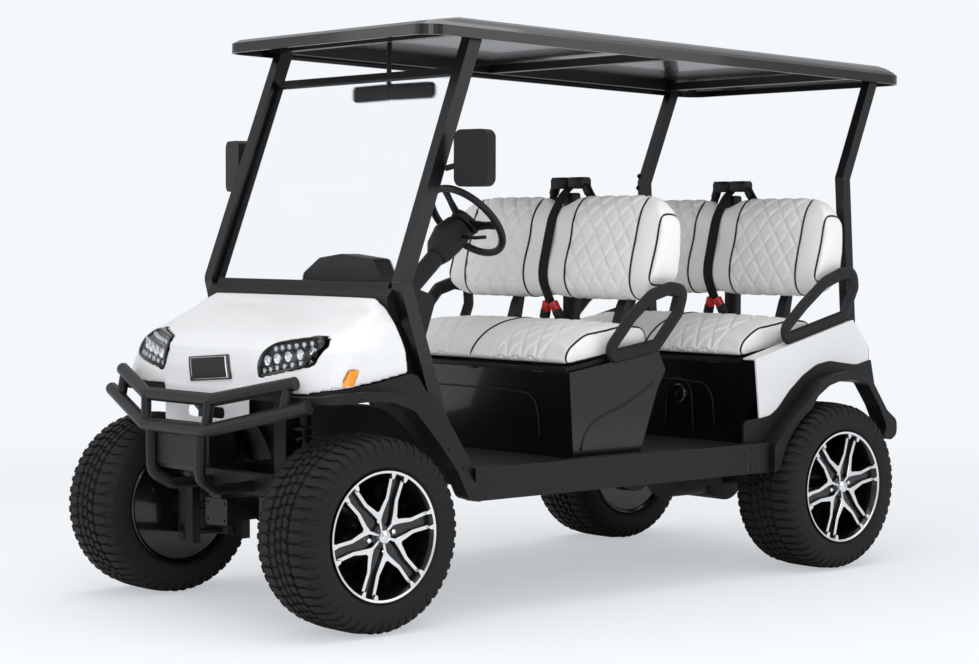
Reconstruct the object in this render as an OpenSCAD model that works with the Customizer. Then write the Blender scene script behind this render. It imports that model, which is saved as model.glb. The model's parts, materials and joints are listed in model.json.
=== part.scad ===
/* [Wheels] */
// Outer radius of a tyre, out to the tips of its lugs
tyre_r = 292; // [286:1:296]
// Width of a tyre
tyre_w = 268; // [250:1:274]
// Height of a tyre's sidewall and tread, from the rim's lip to the lugs' tips
sidewall_h = 96; // [90:1:102]
// Distance between the axles
wheelbase = 2047; // [2000:1:2160]
// Half of the distance between the wheels' middle planes
track_half = 526; // [520:1:532]
// Radius of the wheel spindles
spindle_r = 17; // [14:1:20]

/* [Body] */
// Half width over the fender flares
flare_half_w = 622; // [616:1:630]
// How far the front flares stand out from the white cowl's foot
front_flare_w = 37; // [33:1:42]
// How far the rear flares stand out from the white rear body
rear_flare_w = 60; // [54:1:66]
// Height of the floor above the ground
floor_z = 450; // [442:1:456]
// Thickness of the moulded body panels
panel_t = 6; // [5:1:8]
// Space between a seat base's end and the white rear body's outer side
base_side_w = 62; // [56:1:68]

/* [Seats] */
// Distance between the two rows of seats
seat_pitch = 827; // [810:1:860]
// How far a cushion's end stays inside its base's end
seat_inset = 22; // [20:1:28]
// How far a backrest's end stands out over its base's end
back_overhang = 35; // [30:1:42]
// Thickness of the board under a cushion
pan_t = 14; // [10:1:16]

/* [Roof] */
// Height of the roof's crown above the ground
roof_top_z = 1840; // [1830:1:1860]
// Half width of the roof
roof_half_w = 540; // [536:1:560]
// Depth of the roof's fascia
fascia_h = 44; // [38:1:50]
// Corner radius of the roof
roof_corner_r = 75; // [60:1:90]

/* [Tubes] */
// Radius of the brush guard's tubes
guard_r = 21; // [18:1:23]
// Width of the square roof posts
post_w = 42; // [36:1:46]
// Radius of the hip restraint tubes
hip_r = 17; // [14:1:18]

/* [Hidden] */

$fn = 48;
eps = 0.01;
gap = 0.3;
run_gap = 0.05;
overhang_shift = 77;
front_y = -wheelbase / 2 - overhang_shift;
rear_y = wheelbase / 2 - overhang_shift;
axle_z = tyre_r;
rim_r = tyre_r - sidewall_h;
cowl_half_w = flare_half_w - front_flare_w;
rear_half_w = flare_half_w - rear_flare_w;
sill_half_w = flare_half_w - 22;
base_half_w = rear_half_w - base_side_w;
seat_half_w = base_half_w - seat_inset;
back_half_w = base_half_w + back_overhang;

post_foot = [524, front_y + 322, 560];
post_kink = [497, front_y + 188, 1023];
post_top = [491, front_y + 480, 1800];
post_d = 46;
glass_x = 456;
glass_t = 5;
glass_foot = [front_y + 178, 1010];
glass_head = [front_y + 430, 1676];
shelf_z = 694;

black = [0.09, 0.09, 0.1];
soft_black = [0.05, 0.05, 0.055];
white = [0.93, 0.93, 0.94];
silver = [0.75, 0.76, 0.78];
leather = [0.9, 0.89, 0.87];
steel = [0.35, 0.36, 0.38];
clear = [0.8, 0.88, 0.92, 0.4];

// Vectors

function unit(v) = v / norm(v);
function mix(a, b, t) = a + (b - a) * t;
function turn(a, b) = acos(min(1, max(-1, unit(a) * unit(b))));
function arc(c, r, a0, a1, n) = [for (i = [0:n]) let (a = a0 + (a1 - a0) * i / n)
    c + r * [cos(a), sin(a)]];

// Places the children's local X, Y and Z along three perpendicular unit vectors

module placed(o, ex, ey, ez)
    multmatrix([[ex[0], ey[0], ez[0], o[0]], [ex[1], ey[1], ez[1], o[1]],
        [ex[2], ey[2], ez[2], o[2]], [0, 0, 0, 1]]) children();

module rod(a, b, r) {
    d = b - a;
    ez = unit(d);
    side = abs(ez[2]) > 0.9 ? [1, 0, 0] : [0, 0, 1];
    ex = unit(cross(side, ez));
    placed(a, ex, cross(ez, ex), ez) cylinder(r = r, h = norm(d));
}

// A square bar from a to b, with one side along X
module bar(a, b, w, d) {
    v = b - a;
    ez = unit(v);
    ex = [1, 0, 0];
    ey = unit(cross(ez, ex));
    placed(a, unit(cross(ey, ez)), ey, ez) translate([-w / 2, -d / 2, 0]) cube([w, d, norm(v)]);
}

// A path's points, with each corner rounded to an arc of radius bend_r

function trim(p, i, bend_r) = bend_r * tan(turn(p[i] - p[i - 1], p[i + 1] - p[i]) / 2);

function corner(p, i, bend_r) =
    let (a = unit(p[i] - p[i - 1]), b = unit(p[i + 1] - p[i]), t = turn(a, b),
        start = p[i] - a * trim(p, i, bend_r), c = p[i] + unit(b - a) * bend_r / cos(t / 2),
        ex = unit(start - c), n = max(1, ceil(t / 20)))
    t < 1 ? [p[i]] : [for (k = [0:n]) c + bend_r * (ex * cos(t * k / n) + a * sin(t * k / n))];

function rounded_path(p, bend_r) = concat([p[0]],
    [for (i = [1:len(p) - 2]) each corner(p, i, bend_r)], [p[len(p) - 1]]);

function wrap(i, n) = (i + n) % n;

function loop_path(p, bend_r) = let (n = len(p)) [for (i = [0:n - 1])
    each corner([p[wrap(i - 1, n)], p[i], p[wrap(i + 1, n)]], 1, bend_r)];

// The frame of each ring is carried along the path, so that the tube doesn't twist

function carried(v, d) = unit(v - d * (v * d));
function directions(p, closed) = let (n = len(p)) [for (i = [0:n - 1])
    unit((closed || i < n - 1 ? p[wrap(i + 1, n)] : p[i]) - (closed || i > 0 ? p[wrap(i - 1, n)] : p[i]))];
function frames(d, v, i = 0) = i == len(d) ? []
    : let (w = carried(v, d[i])) concat([w], frames(d, w, i + 1));

// A tube of sides flats swept along the points p; sx and sy are its half widths

module swept(p, sx, sy, closed = false, sides = 10, up = [1, 0, 0]) {
    d = directions(p, closed);
    f = frames(d, up);
    n = len(p);
    polyhedron(points = [for (i = [0:n - 1]) let (e = cross(d[i], f[i])) for (k = [0:sides - 1])
            p[i] + f[i] * sx * cos(360 * k / sides) + e * sy * sin(360 * k / sides)],
        faces = concat(closed ? [] : [[for (k = [0:sides - 1]) k],
                [for (k = [sides - 1:-1:0]) (n - 1) * sides + k]],
            [for (i = [0:n - (closed ? 1 : 2)], k = [0:sides - 1]) let (j = wrap(i + 1, n),
                l = (k + 1) % sides) [i * sides + k, j * sides + k, j * sides + l, i * sides + l]]));
}

module bent_tube(p, r, bend_r) swept(rounded_path(p, bend_r), r, r);
module tube_loop(p, sx, sy, bend_r) swept(loop_path(p, bend_r), sx, sy, true, 8);

function mx(p) = [-p[0], p[1], p[2]];

module both() {
    children();
    mirror([1, 0, 0]) children();
}

// An outline given in Y and Z, extruded across X from x0 to x1

module across(x0, x1, points)
    translate([x0, 0, 0]) rotate([90, 0, 90]) linear_extrude(x1 - x0) polygon(points);

// Wheels

rim_inner_r = rim_r - 20;
disc_x = tyre_w / 2 - 26;
hub_r = 42;
bore_depth = 60;

module tyre() color(soft_black) rotate([0, 90, 0]) rotate_extrude($fn = 72) {
    h = tyre_w / 2;
    shoulder = 26;
    polygon(concat([[rim_r - 14 + gap, -h + 22], [rim_r + 4, -h + 8]],
        arc([rim_r + 45, -h + 42], 42, 235, 290, 3),
        [[tyre_r - shoulder, -h + 4], [tyre_r - 8, -h + 14], [tyre_r, -h + 34]],
        [[tyre_r, h - 34], [tyre_r - 8, h - 14], [tyre_r - shoulder, h - 4]],
        arc([rim_r + 45, h - 42], 42, 70, 125, 3),
        [[rim_r + 4, h - 8], [rim_r - 14 + gap, h - 22]]));
}

// A pair of spokes that leave the hub together and stand apart at the rim, each with a kink
module twin_spoke() {
    out_r = rim_inner_r - 8;
    knee_r = out_r * 0.74;
    polygon([[hub_r - 16, -13], [knee_r, -31], [out_r, -26], [out_r, -13], [knee_r, -19],
        [hub_r + 14, 0], [knee_r, 19], [out_r, 13], [out_r, 26], [knee_r, 31], [hub_r - 16, 13]]);
}

module rim() color(silver) {
    h = tyre_w / 2;
    lip = 9;
    rotate([0, 90, 0]) difference() {
        union() {
            rotate_extrude($fn = 72) polygon([[rim_r - 14, -h + 10], [rim_r, -h + 10],
                [rim_r, -h + 2], [rim_r - lip, -h + 2], [rim_inner_r - 6, -h + 16],
                [rim_inner_r - 14, 0], [rim_inner_r - 14, h - 40], [rim_inner_r, h - 4],
                [rim_r - lip, h - 4], [rim_r, h - 4], [rim_r, h - 10], [rim_r - 14, h - 10]]);
            translate([0, 0, disc_x - bore_depth]) cylinder(r = hub_r, h = bore_depth + 10);
            for (i = [0:5]) rotate([0, 0, 60 * i + 12])
                translate([0, 0, disc_x - 14]) linear_extrude(20) twin_spoke();
        }
        translate([0, 0, disc_x - bore_depth - 1])
            cylinder(r = spindle_r + run_gap, h = bore_depth - 5);
    }
}

module wheel_place(side, y) translate([side * track_half, y, axle_z])
    mirror([side < 0 ? 1 : 0, 0, 0]) children();

// Suspension and steering

kingpin_x = 390;
kingpin_r = 10;
arm_gap = 78;
boss_h = 24;
rail_x = 200;
rail_w = 50;
rail_h = 64;
floor_t = 12;
rail_z = floor_z - floor_t - rail_h;
rail_out_x = rail_x + rail_w / 2;
spindle_end_x = track_half + disc_x - 10;
steer_arm = 130;
steer_arm_z = axle_z - 52;

module knuckle() color(steel) {
    h = arm_gap - boss_h / 2 - 0.5;
    difference() {
        union() {
            translate([kingpin_x, front_y, axle_z - h]) cylinder(r = 24, h = 2 * h);
            translate([kingpin_x + 20, front_y, axle_z]) rotate([0, 90, 0]) cylinder(r = 34, h = 14);
            translate([kingpin_x, front_y, axle_z]) rotate([0, 90, 0])
                cylinder(r = spindle_r, h = spindle_end_x - kingpin_x);
            translate([kingpin_x - 11, front_y, steer_arm_z]) cube([22, steer_arm, 14]);
            translate([kingpin_x, front_y + steer_arm, steer_arm_z]) cylinder(r = 16, h = 14);
        }
        translate([kingpin_x, front_y, axle_z - h - 1])
            cylinder(r = kingpin_r + run_gap, h = 2 * h + 2);
    }
}

arm_half = 95;
arm_eye_r = 15;
arm_eye_x = rail_out_x + arm_eye_r + gap;

module front_arms() color(steel) both() {
    for (s = [-1, 1]) translate([0, front_y, axle_z + s * arm_gap - boss_h / 2]) {
        linear_extrude(boss_h) {
            translate([kingpin_x, 0]) circle(r = 25);
            for (t = [-1, 1]) polygon([[kingpin_x - 6, t * 24], [kingpin_x - 22, t * 8],
                [arm_eye_x + 4, t * (arm_half - 10)], [arm_eye_x + 4, t * (arm_half + 10)]]);
        }
        for (t = [-1, 1]) translate([arm_eye_x, t * arm_half - 18, boss_h / 2]) rotate([-90, 0, 0])
            cylinder(r = arm_eye_r, h = 36);
    }
    translate([kingpin_x, front_y, axle_z - arm_gap]) cylinder(r = kingpin_r, h = 2 * arm_gap);
    translate([shock_low[0] - 20, front_y - 74, axle_z - arm_gap - 6]) cube([40, 148, 12]);
}

shock_low = [292, front_y, axle_z - arm_gap + 6 + gap];
shock_top = [252, front_y, 651];
coil_r = 32;

module front_shocks() color(soft_black) both() {
    u = unit(shock_top - shock_low);
    l = norm(shock_top - shock_low);
    difference() {
        union() {
            rod(shock_low - u * 10, shock_low + u * 170, 17);
            rod(shock_low + u * 160, shock_top + u * 10, 8);
            for (i = [0:8]) rod(shock_low + u * (86 + 30 * i), shock_low + u * (98 + 30 * i), coil_r);
            rod(shock_low + u * 66, shock_low + u * 74, coil_r + 3);
            rod(shock_top - u * 74, shock_top - u * 66, coil_r + 3);
        }
        translate([0, front_y - 100, shock_low[2] - 50]) cube([400, 200, 50]);
        translate([0, front_y - 100, shock_top[2]]) cube([400, 200, 50]);
    }
}

tower_x = rail_x - rail_w / 2;
tower_w = 60;

module frame() color(black) {
    tower_top = shock_top[2] + gap;
    both() {
        translate([tower_x, front_y - 90, rail_z])
            cube([rail_w, rear_y + 260 - (front_y - 90), rail_h]);
        for (t = [-1, 1]) translate([arm_eye_x - 60, front_y + t * arm_half - 15, axle_z - arm_gap - 20])
            cube([60 - arm_eye_r - gap, 30, rail_z + 1 - (axle_z - arm_gap - 20)]);
        difference() {
            translate([tower_x, front_y - 50, rail_z + rail_h - 1])
                cube([tower_w, 100, tower_top - rail_z - rail_h + 1]);
            translate([tower_x + 6, front_y - 44, rail_z + rail_h]) cube([tower_w, 88, 400]);
        }
        translate([tower_x, front_y - 50, tower_top]) cube([shock_top[0] + 30 - tower_x, 100, 8]);
        translate([tower_x, rear_y + 120, rail_z + rail_h - 1])
            cube([rail_w, 40, shelf_z - gap - rail_z - rail_h + 1]);
        translate([110, rack_y - 12, rack_z + 10]) cube([24, 24, rail_z + 1 - rack_z - 10]);
    }
    for (y = [front_y - 90, front_y + 120, front_y + 430, front_y + 900, rear_y - 360, rear_y + 220])
        translate([-rail_x, y, rail_z]) cube([2 * rail_x, 40, rail_h]);
    translate([-40, plate_y + plate_t - 1, plate_z - 30]) cube([80, 145, 60]);
    translate([-rail_x + 20, plate_y + 140, plate_z - 30])
        cube([2 * rail_x - 40, 40, rail_z - plate_z + 40]);
    front_plate();
    translate([-150, rack_y, rack_z]) rotate([0, 90, 0]) difference() {
        cylinder(r = 20, h = 300);
        translate([0, 0, -1]) cylinder(r = rack_r + run_gap, h = 302);
    }
}

plate_y = front_y - 143;
plate_z = axle_z + 25;
plate_t = 8;
plate_w = 116;
plate_h = 80;
plate_dx = 90;
plate_dz = 54;
plate_hole_r = 4.5;

module front_plate() translate([0, plate_y, plate_z]) rotate([-90, 0, 0]) difference() {
    translate([-plate_w / 2, -plate_h / 2, 0]) cube([plate_w, plate_h, plate_t]);
    for (s = [-1, 1], t = [-1, 1]) translate([s * plate_dx / 2, t * plate_dz / 2, -1])
        cylinder(r = plate_hole_r, h = plate_t + 2);
}

rack_r = 9;
rack_y = front_y + steer_arm;
rack_z = steer_arm_z + 14 + 16;

module tie_rods() color(steel) {
    rod([-kingpin_x, rack_y, rack_z], [kingpin_x, rack_y, rack_z], rack_r);
    both() translate([kingpin_x, rack_y, rack_z - 15.5]) cylinder(r = 15, h = 26);
}

// Rear axle and what carries it

spring_x = rail_x;
drum_r = 105;

drum_x = 375;
motor_r = 95;

module rear_axle() color(steel) {
    both() translate([0, rear_y, axle_z]) rotate([0, 90, 0]) {
        cylinder(r = 34, h = drum_x);
        translate([0, 0, drum_x - eps]) cylinder(r = drum_r, h = 32);
        translate([0, 0, drum_x + 25]) cylinder(r = spindle_r, h = spindle_end_x - drum_x - 25);
    }
    translate([-motor_r, rear_y, axle_z]) rotate([0, 90, 0]) cylinder(r = motor_r, h = 2 * motor_r);
    translate([20, rear_y - 30, axle_z + 20]) rotate([90, 0, 0]) cylinder(r = motor_r, h = 230);
}

spring_half = 300;

module rear_springs() color(soft_black) both() {
    z0 = axle_z + 34 + gap;
    across(spring_x - 25, spring_x + 25, [[rear_y - spring_half, rail_z - 24], [rear_y - 120, z0 + 10],
        [rear_y - 40, z0], [rear_y + 40, z0], [rear_y + 120, z0 + 10], [rear_y + 250, rail_z - 24],
        [rear_y + 250, rail_z - gap], [rear_y + 235, rail_z - gap], [rear_y + 120, z0 + 22],
        [rear_y + 40, z0 + 22], [rear_y - 40, z0 + 22], [rear_y - 120, z0 + 22],
        [rear_y - spring_half + 15, rail_z - gap], [rear_y - spring_half, rail_z - gap]]);
}

// Floor and sills

sill_front_y = front_y + 395;
sill_rear_y = rear_y - 323;
toe_y = front_y + 270;
toe_z = 640;
sill_in_x = sill_half_w - 46;

module floor_pan() color(soft_black) {
    x = sill_in_x - gap;
    across(-x, x, [[toe_y, toe_z], [sill_front_y, floor_z], [rear_y - 320, floor_z],
        [rear_y - 320, floor_z - floor_t], [sill_front_y - 6, floor_z - floor_t],
        [toe_y - 11, toe_z - 5]]);
}

module rocker_panels() color(black) both() {
    across(sill_in_x, sill_half_w, [[sill_front_y, floor_z - 90],
        [sill_front_y, floor_z + 12], [sill_rear_y, floor_z + 12], [sill_rear_y, floor_z - 90]]);
}

// Front cowl, as level outlines one above another

cowl_back_y = front_y + 150;
cowl_foot_z = 700;
cowl_len = 327.5;

// Each level's height, half width, length ahead of the rear edge and roundness

module cowl_solid(inset) {
    levels = [[cowl_foot_z, cowl_half_w, cowl_len, 5], [760, cowl_half_w - 4, cowl_len - 10, 4.4],
        [826, cowl_half_w - 14, cowl_len - 28, 4], [862, cowl_half_w - 34, cowl_len - 78, 3.6],
        [905, cowl_half_w - 64, cowl_len - 173, 3.4], [950, cowl_half_w - 108, cowl_len - 268, 3.2],
        [980, cowl_half_w - 160, cowl_len - 318, 3]];
    n = 24;
    rings = [for (l = levels) [for (i = [0:n]) let (a = -90 + 180 * i / n,
        w = l[1] - inset, d = l[2] - inset)
        [w * sign(sin(a)) * pow(abs(sin(a)), 2 / l[3]),
         cowl_back_y - d * pow(abs(cos(a)), 2 / l[3]), l[0] - inset]]];
    m = n + 1;
    k = len(levels);
    polyhedron(points = [for (r = rings) for (p = r) p],
        faces = concat([[for (i = [0:n]) i]], [[for (i = [0:n]) (k - 1) * m + n - i]],
            [for (j = [0:k - 2], i = [0:n]) let (i2 = (i + 1) % m)
                [j * m + i, (j + 1) * m + i, (j + 1) * m + i2, j * m + i2]]));
}

// A lamp's corners, inward from the cowl's half width and up
lamp_corners = [for (q = [[333, 744], [333, 805], [323, 830], [300, 847], [168, 869], [130, 860],
    [109, 841], [113, 788]]) [cowl_half_w - q[0], q[1]]];

module lamp_window(d) translate([0, front_y + 10, 0]) rotate([90, 0, 0]) linear_extrude(400)
    offset(delta = d) polygon(loop_path(lamp_corners, 10));

module front_cowl() color(white) {
    difference() {
        cowl_solid(0);
        cowl_solid(panel_t);
        both() {
            lamp_window(0);
            marker_window(0);
            across(200, 640, front_trim(gap));
        }
    }
    nose_panel();
}

nose_low_z = 588;

module nose_panel() difference() {
    translate([-230, front_y - 182, nose_low_z]) cube([460, panel_t, cowl_foot_z - nose_low_z + 4]);
    translate([-95, front_y - 190, 612]) cube([190, 30, 26]);
}

module head_lamps() color(clear) intersection() {
    cowl_solid(-1);
    both() lamp_window(-1);
}

module marker_window(d) translate([cowl_half_w - 85, front_y - 54, 0]) rotate([90, 0, 90])
    linear_extrude(120) polygon([[-26 - d, 727 - d], [2 + d, 727 - d], [26 + d, 774 + d], [3 - d, 774 + d]]);

module side_markers() color("orange") both() intersection() {
    cowl_solid(-1);
    marker_window(-gap);
}

dash_x = post_kink[0] - post_w / 2 - gap;
dash_rear_y = front_y + 330;

module cowl_top() color(soft_black) {
    x = dash_x;
    top_z = glass_foot[1] - 2 - gap;
    across(-x, x, [[cowl_back_y + gap, 905], [cowl_back_y + gap, 984], [front_y + 172, top_z],
        [front_y + 196, top_z], [front_y + 196, 905]]);
}

function dash_outline(d) = [[front_y + 196 + gap, 700 - d], [front_y + 196 + gap, 1002],
        [front_y + 262, 1008 + d], [dash_rear_y + d, 985], [dash_rear_y + 6 + d, 960],
        [dash_rear_y - 30 + d, 860], [front_y + 262 + d, 700 - d]];

// The outline of the hood over the instruments, seen from in front
hood_corners = [[-72, 990], [-60, 1046], [27, 1096], [139, 1109], [302, 1094], [336, 1041], [342, 990]];
hood_front_y = front_y + 234;
hood_len = 66;

module dashboard() color(soft_black) {
    across(-dash_x, dash_x, dash_outline(0));
    translate([0, hood_front_y + hood_len, 0]) rotate([90, 0, 0]) linear_extrude(hood_len)
        polygon(rounded_path(hood_corners, 24));
}

// Bumper

bar_front_y = front_y - 294;

module brush_guard() color(black) {
    upper = [[467, front_y - 183, 736], [180, front_y - 278, 677]];
    lower = [[533, front_y - 184, 670], [162, bar_front_y, 584]];
    bent_tube(concat(upper, [mx(upper[1]), mx(upper[0])]), guard_r, 45);
    bent_tube(concat(lower, [mx(lower[1]), mx(lower[0])]), guard_r, 45);
    both() {
        rod([172, front_y - 284, 670], [164, front_y - 290, 592], guard_r - 5);
        rod([440, front_y - 191, 730], [440, front_y - 207, 646], guard_r - 5);
        bent_tube([[136, front_y - 290, 590], [130, front_y - 292, 440], [112, front_y - 230, 400],
            [112, front_y - 90 - gap, 400]], guard_r - 3, 40);
    }
    across(-115, 115, [[front_y - 284, 570], [front_y - 284, 470], [front_y - 274, 455],
        [front_y - 268, 462], [front_y - 276, 474], [front_y - 276, 570]]);
}

// Fender flares

flare_in_x = rear_half_w - panel_t;
lip_in_x = cowl_half_w - 25;
band_bend = 30;

function reversed(p) = [for (i = [len(p) - 1:-1:0]) p[i]];
function shift(p, dy) = [for (q = p) [q[0] + dy, q[1]]];

// The front arch: its lip's outer and inner edge, and the trim up to the white cowl

sill_gap_y = sill_front_y - front_y - gap;
front_lip_out = [[-227, 688], [-140, 699], [-115, 706], [-32, 713], [52, 709], [116, 698], [160, 667],
    [182, 632], [281, 520], [sill_gap_y, 399]];
front_lip_in = [[-227, 676], [-125, 676], [-32, 683], [52, 680], [138, 651], [232, 549],
    [303, 462], [349, 374], [sill_gap_y, 361]];
front_trim_top = [[-227, cowl_foot_z], [-150, cowl_foot_z], [-120, 711], [-84, 717], [42, 737],
    [154, 758], [178, 752], [215, 700], [250, 690], [281, 640], [sill_gap_y, 470]];

function front_lip() = shift(concat(rounded_path(front_lip_out, band_bend),
    reversed(rounded_path(front_lip_in, band_bend))), front_y);
function front_trim(d) = shift(concat([for (q = front_trim_top) q + [0, d - gap]],
    reversed(rounded_path(front_lip_in, band_bend))), front_y);

// The arch's bands follow the cowl's foot round its corner, o outside it and i inside it

ring_steps = 20;
ring_end_y = front_y + 400;
lip_start_a = 22;
trim_start_a = 6;
lip_start_out = 14;

function cowl_plan(a, o) = [(cowl_half_w + o) * pow(sin(a), 0.4),
    cowl_back_y - (cowl_len + o) * pow(cos(a), 0.4)];
function lip_out(a) = mix(lip_start_out, flare_half_w - cowl_half_w,
    max(0, a - lip_start_a) / (90 - lip_start_a));
function ring_angles(a0) = [for (k = [0:ring_steps]) a0 + (90 - a0) * k / ring_steps];

module front_band(outline, angles, outer) intersection() {
    across(0, 700, outline);
    linear_extrude(800) polygon(concat(outer, [[outer[len(outer) - 1][0], ring_end_y],
        [lip_in_x, ring_end_y]], [for (a = reversed(angles)) cowl_plan(a, lip_in_x - cowl_half_w)]));
}

module front_flare() {
    lip_a = ring_angles(lip_start_a);
    trim_a = ring_angles(trim_start_a);
    front_band(front_lip(), lip_a, [for (a = lip_a) cowl_plan(a, lip_out(a))]);
    front_band(front_trim(0), trim_a, [for (a = trim_a) cowl_plan(a, 0)]);
}

// A thin liner over the front wheel, from the cowl's rear corner down to the sill

liner_r = 385;
liner_t = 4;
liner_c = [front_y, 300];

module front_liner() across(420, lip_in_x + 2, concat(arc(liner_c, liner_r, 16, 100, 16),
    reversed(arc(liner_c, liner_r + liner_t, 16, 100, 16))));

// The rear arch: its lip's edges, and the strip up to the white body

rear_lip_out = [[sill_rear_y - rear_y + gap, 361], [sill_rear_y - rear_y + gap, 452], [-276, 493],
    [-200, 560], [-140, 605], [-71, 667], [0, 687], [73, 691], [156, 681], [194, 653], [275, 546],
    [330, 507], [331, 454], [299, 438]];
rear_lip_in = [[-298, 370], [-222, 463], [-163, 527], [-101, 611], [-40, 646], [32, 663],
    [115, 659], [167, 644], [232, 562], [276, 484], [254, 445]];
rear_edge = [[-336, 543], [-282, 551], [-243, 575], [-184, 632], [-115, 682], [-44, 717],
    [27, 728], [100, 718], [173, 709], [240, 723]];

sill_top_z = floor_z + 12;
strip_t = 10;

function rear_lip() = shift(concat(rounded_path(rear_lip_out, band_bend),
    reversed(rounded_path(rear_lip_in, band_bend))), rear_y);
function rear_strip() = let (y = sill_rear_y - rear_y + gap) shift(concat(
    [[y, sill_top_z + gap], [-420, sill_top_z + gap], [-420, 520], [-400, 540]],
    rounded_path(rear_edge, 2 * band_bend), [[250, 723], [270, 640]],
    reversed(rounded_path([for (i = [0:8]) rear_lip_in[i]], band_bend)), [[y, 370]]), rear_y);

module rear_flare() difference() {
    union() {
        across(flare_in_x, flare_half_w, rear_lip());
        across(flare_in_x, flare_in_x + strip_t, rear_strip());
    }
    translate([0, rear_y, axle_z]) rotate([0, 90, 0]) cylinder(r = tyre_r + 14, h = 700);
}

module fender_flares() color(black) both() {
    front_flare();
    front_liner();
    rear_flare();
}

// Windshield and roof

module front_posts() color(black) both() difference() {
    union() {
        bar(post_foot, post_kink, post_w, post_d);
        bar(post_kink, post_top, post_w, post_d);
        translate(post_kink) rotate([0, 90, 0]) cylinder(r = post_d / 2 - 1, h = post_w - 1, center = true);
    }
    across(450, 600, [[toe_y - 60, toe_z + 92 + gap], [sill_front_y, floor_z + gap], [sill_front_y, 400],
        [toe_y - 60, 400]]);
    in_roof() translate([400, 0, ceiling_z - 36 - gap]) cube([200, roof_len, 100]);
}

fold = 0.46;
glass_u = unit(glass_head - glass_foot);
glass_n = [-glass_u[1], glass_u[0]];

module pane(t0, t1) color(clear) {
    a = mix(glass_foot, glass_head, t0);
    b = mix(glass_foot, glass_head, t1);
    across(-glass_x, glass_x, [a, b, b - glass_n * glass_t, a - glass_n * glass_t]);
}

module windshield_lower() pane(0, fold - 0.004);
module windshield_upper() pane(fold + 0.004, 1);

module windshield_frame() color(soft_black) {
    a = glass_foot - glass_n * (glass_t + gap);
    b = glass_head - glass_n * (glass_t + gap);
    both() difference() {
        across(glass_x - 3, post_top[0] - post_w / 2 - gap,
            [a - glass_u * 30, b, b - glass_n * 14, a - glass_u * 30 - glass_n * 14]);
        translate([0, glass_foot[0] - 60, glass_foot[1] - 100]) cube([600, 200, 100]);
    }
}

roof_front_y = front_y + 255;
roof_rear_y = rear_y + 463;
roof_front_z = 1772;
roof_rear_z = 1716;
roof_len = roof_rear_y - roof_front_y;
roof_slope = atan((roof_rear_z - roof_front_z) / roof_len);
roof_rise = roof_top_z - roof_front_z;
ceiling_z = roof_rise - 18;

// The roof's plan moved in by inset all round, and by front more at its front edge
module roof_plan(inset, z, h, front = 0) hull() for (x = [-1, 1], y = [0, 1])
    translate([x * (roof_half_w - 4 * (1 - y) - roof_corner_r),
        y ? roof_len - roof_corner_r : roof_corner_r + front, z])
        cylinder(r = roof_corner_r - inset, h = h, $fn = 32);

module roof_slope_part(inset0, z0, front0, inset1, z1, front1) hull() {
    roof_plan(inset0, z0 - 2, 2, front0);
    roof_plan(inset1, z1 - 2, 2, front1);
}

module roof() color(soft_black) in_roof() difference() {
    union() {
        roof_plan(0, 0, fascia_h - 12);
        roof_slope_part(0, fascia_h - 12, 0, 14, fascia_h, 10);
        roof_slope_part(14, fascia_h, 10, 40, roof_rise - 10, 70);
        roof_slope_part(40, roof_rise - 10, 70, 70, roof_rise, 110);
    }
    roof_plan(10, -1, 22);
    roof_slope_part(22, 22, 10, 34, ceiling_z, 90);
}

roof_rail_x = 482;

module in_roof() translate([0, roof_front_y, roof_front_z]) rotate([roof_slope, 0, 0]) children();

module roof_frame() color(black) in_roof() {
    both() translate([roof_rail_x - 18, 170, ceiling_z - 36]) cube([36, roof_len - 330, 36 - gap]);
    for (y = [172, roof_len * 0.5, roof_len - 200])
        translate([-roof_rail_x, y, ceiling_z - 36]) cube([2 * roof_rail_x, 30, 28]);
}

rear_foot = [499, rear_y + 212, 720];
rear_kink = [499, rear_y + 164, 1372];
rear_top = [499, rear_y + 332, 1770];

// A strip of width d along three points in the YZ plane, with a mitred corner
function side_of(a, b) = let (u = unit(b - a)) [-u[1], u[0]];
function mitre(a, b, c) = let (m = unit(side_of(a, b) + side_of(b, c))) m / (m * side_of(a, b));
function strip(a, b, c, d) = [a + side_of(a, b) * d / 2, b + mitre(a, b, c) * d / 2,
    c + side_of(b, c) * d / 2, c - side_of(b, c) * d / 2, b - mitre(a, b, c) * d / 2,
    a - side_of(a, b) * d / 2];
function yz(p) = [p[1], p[2]];

module rear_posts() color(black) both() difference() {
    across(rear_foot[0] - 18, rear_foot[0] + 18,
        strip(yz(rear_foot) - [0, 40], yz(rear_kink), yz(rear_top), 40));
    translate([400, rear_y, shelf_z + panel_t + gap - 300]) cube([200, 400, 300]);
    in_roof() translate([400, 0, ceiling_z - 36 - gap]) cube([200, roof_len, 100]);
}

// Mirrors

mirror_w = 124;
mirror_h = 172;
mirror_t = 44;
inner_mirror_c = [42, front_y + 505, 1628];
inner_mirror_w = 204;
inner_mirror_h = 52;

module shell_box(w, h, t, r) translate([0, t / 2, 0]) rotate([90, 0, 0]) linear_extrude(t)
    polygon(loop_path([[-w / 2, -h / 2], [w / 2, -h / 2], [w / 2, h / 2], [-w / 2, h / 2]], r));

module mirrors() color(soft_black) {
    both() {
        translate([618, front_y + 372, 1400]) rotate([0, 0, 14])
            shell_box(mirror_w, mirror_h, mirror_t, 26);
        rod([post_kink[0] + post_w / 2 + 2, front_y + 340, 1370], [570, front_y + 368, 1385], 9);
    }
    for (s = [-1, 1]) translate(inner_mirror_c) rotate([0, 0, s * 5])
        translate([s * (inner_mirror_w / 2 - 1), 0, 0]) shell_box(inner_mirror_w, inner_mirror_h, 20, 18);
    in_roof() translate([inner_mirror_c[0], inner_mirror_c[1] - roof_front_y, ceiling_z - 170])
        cylinder(r = 8, h = 170 - gap);
}

// Seats

row_front = rear_y - 344 - seat_pitch;
base_t = 6;
well_x = 372;

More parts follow.
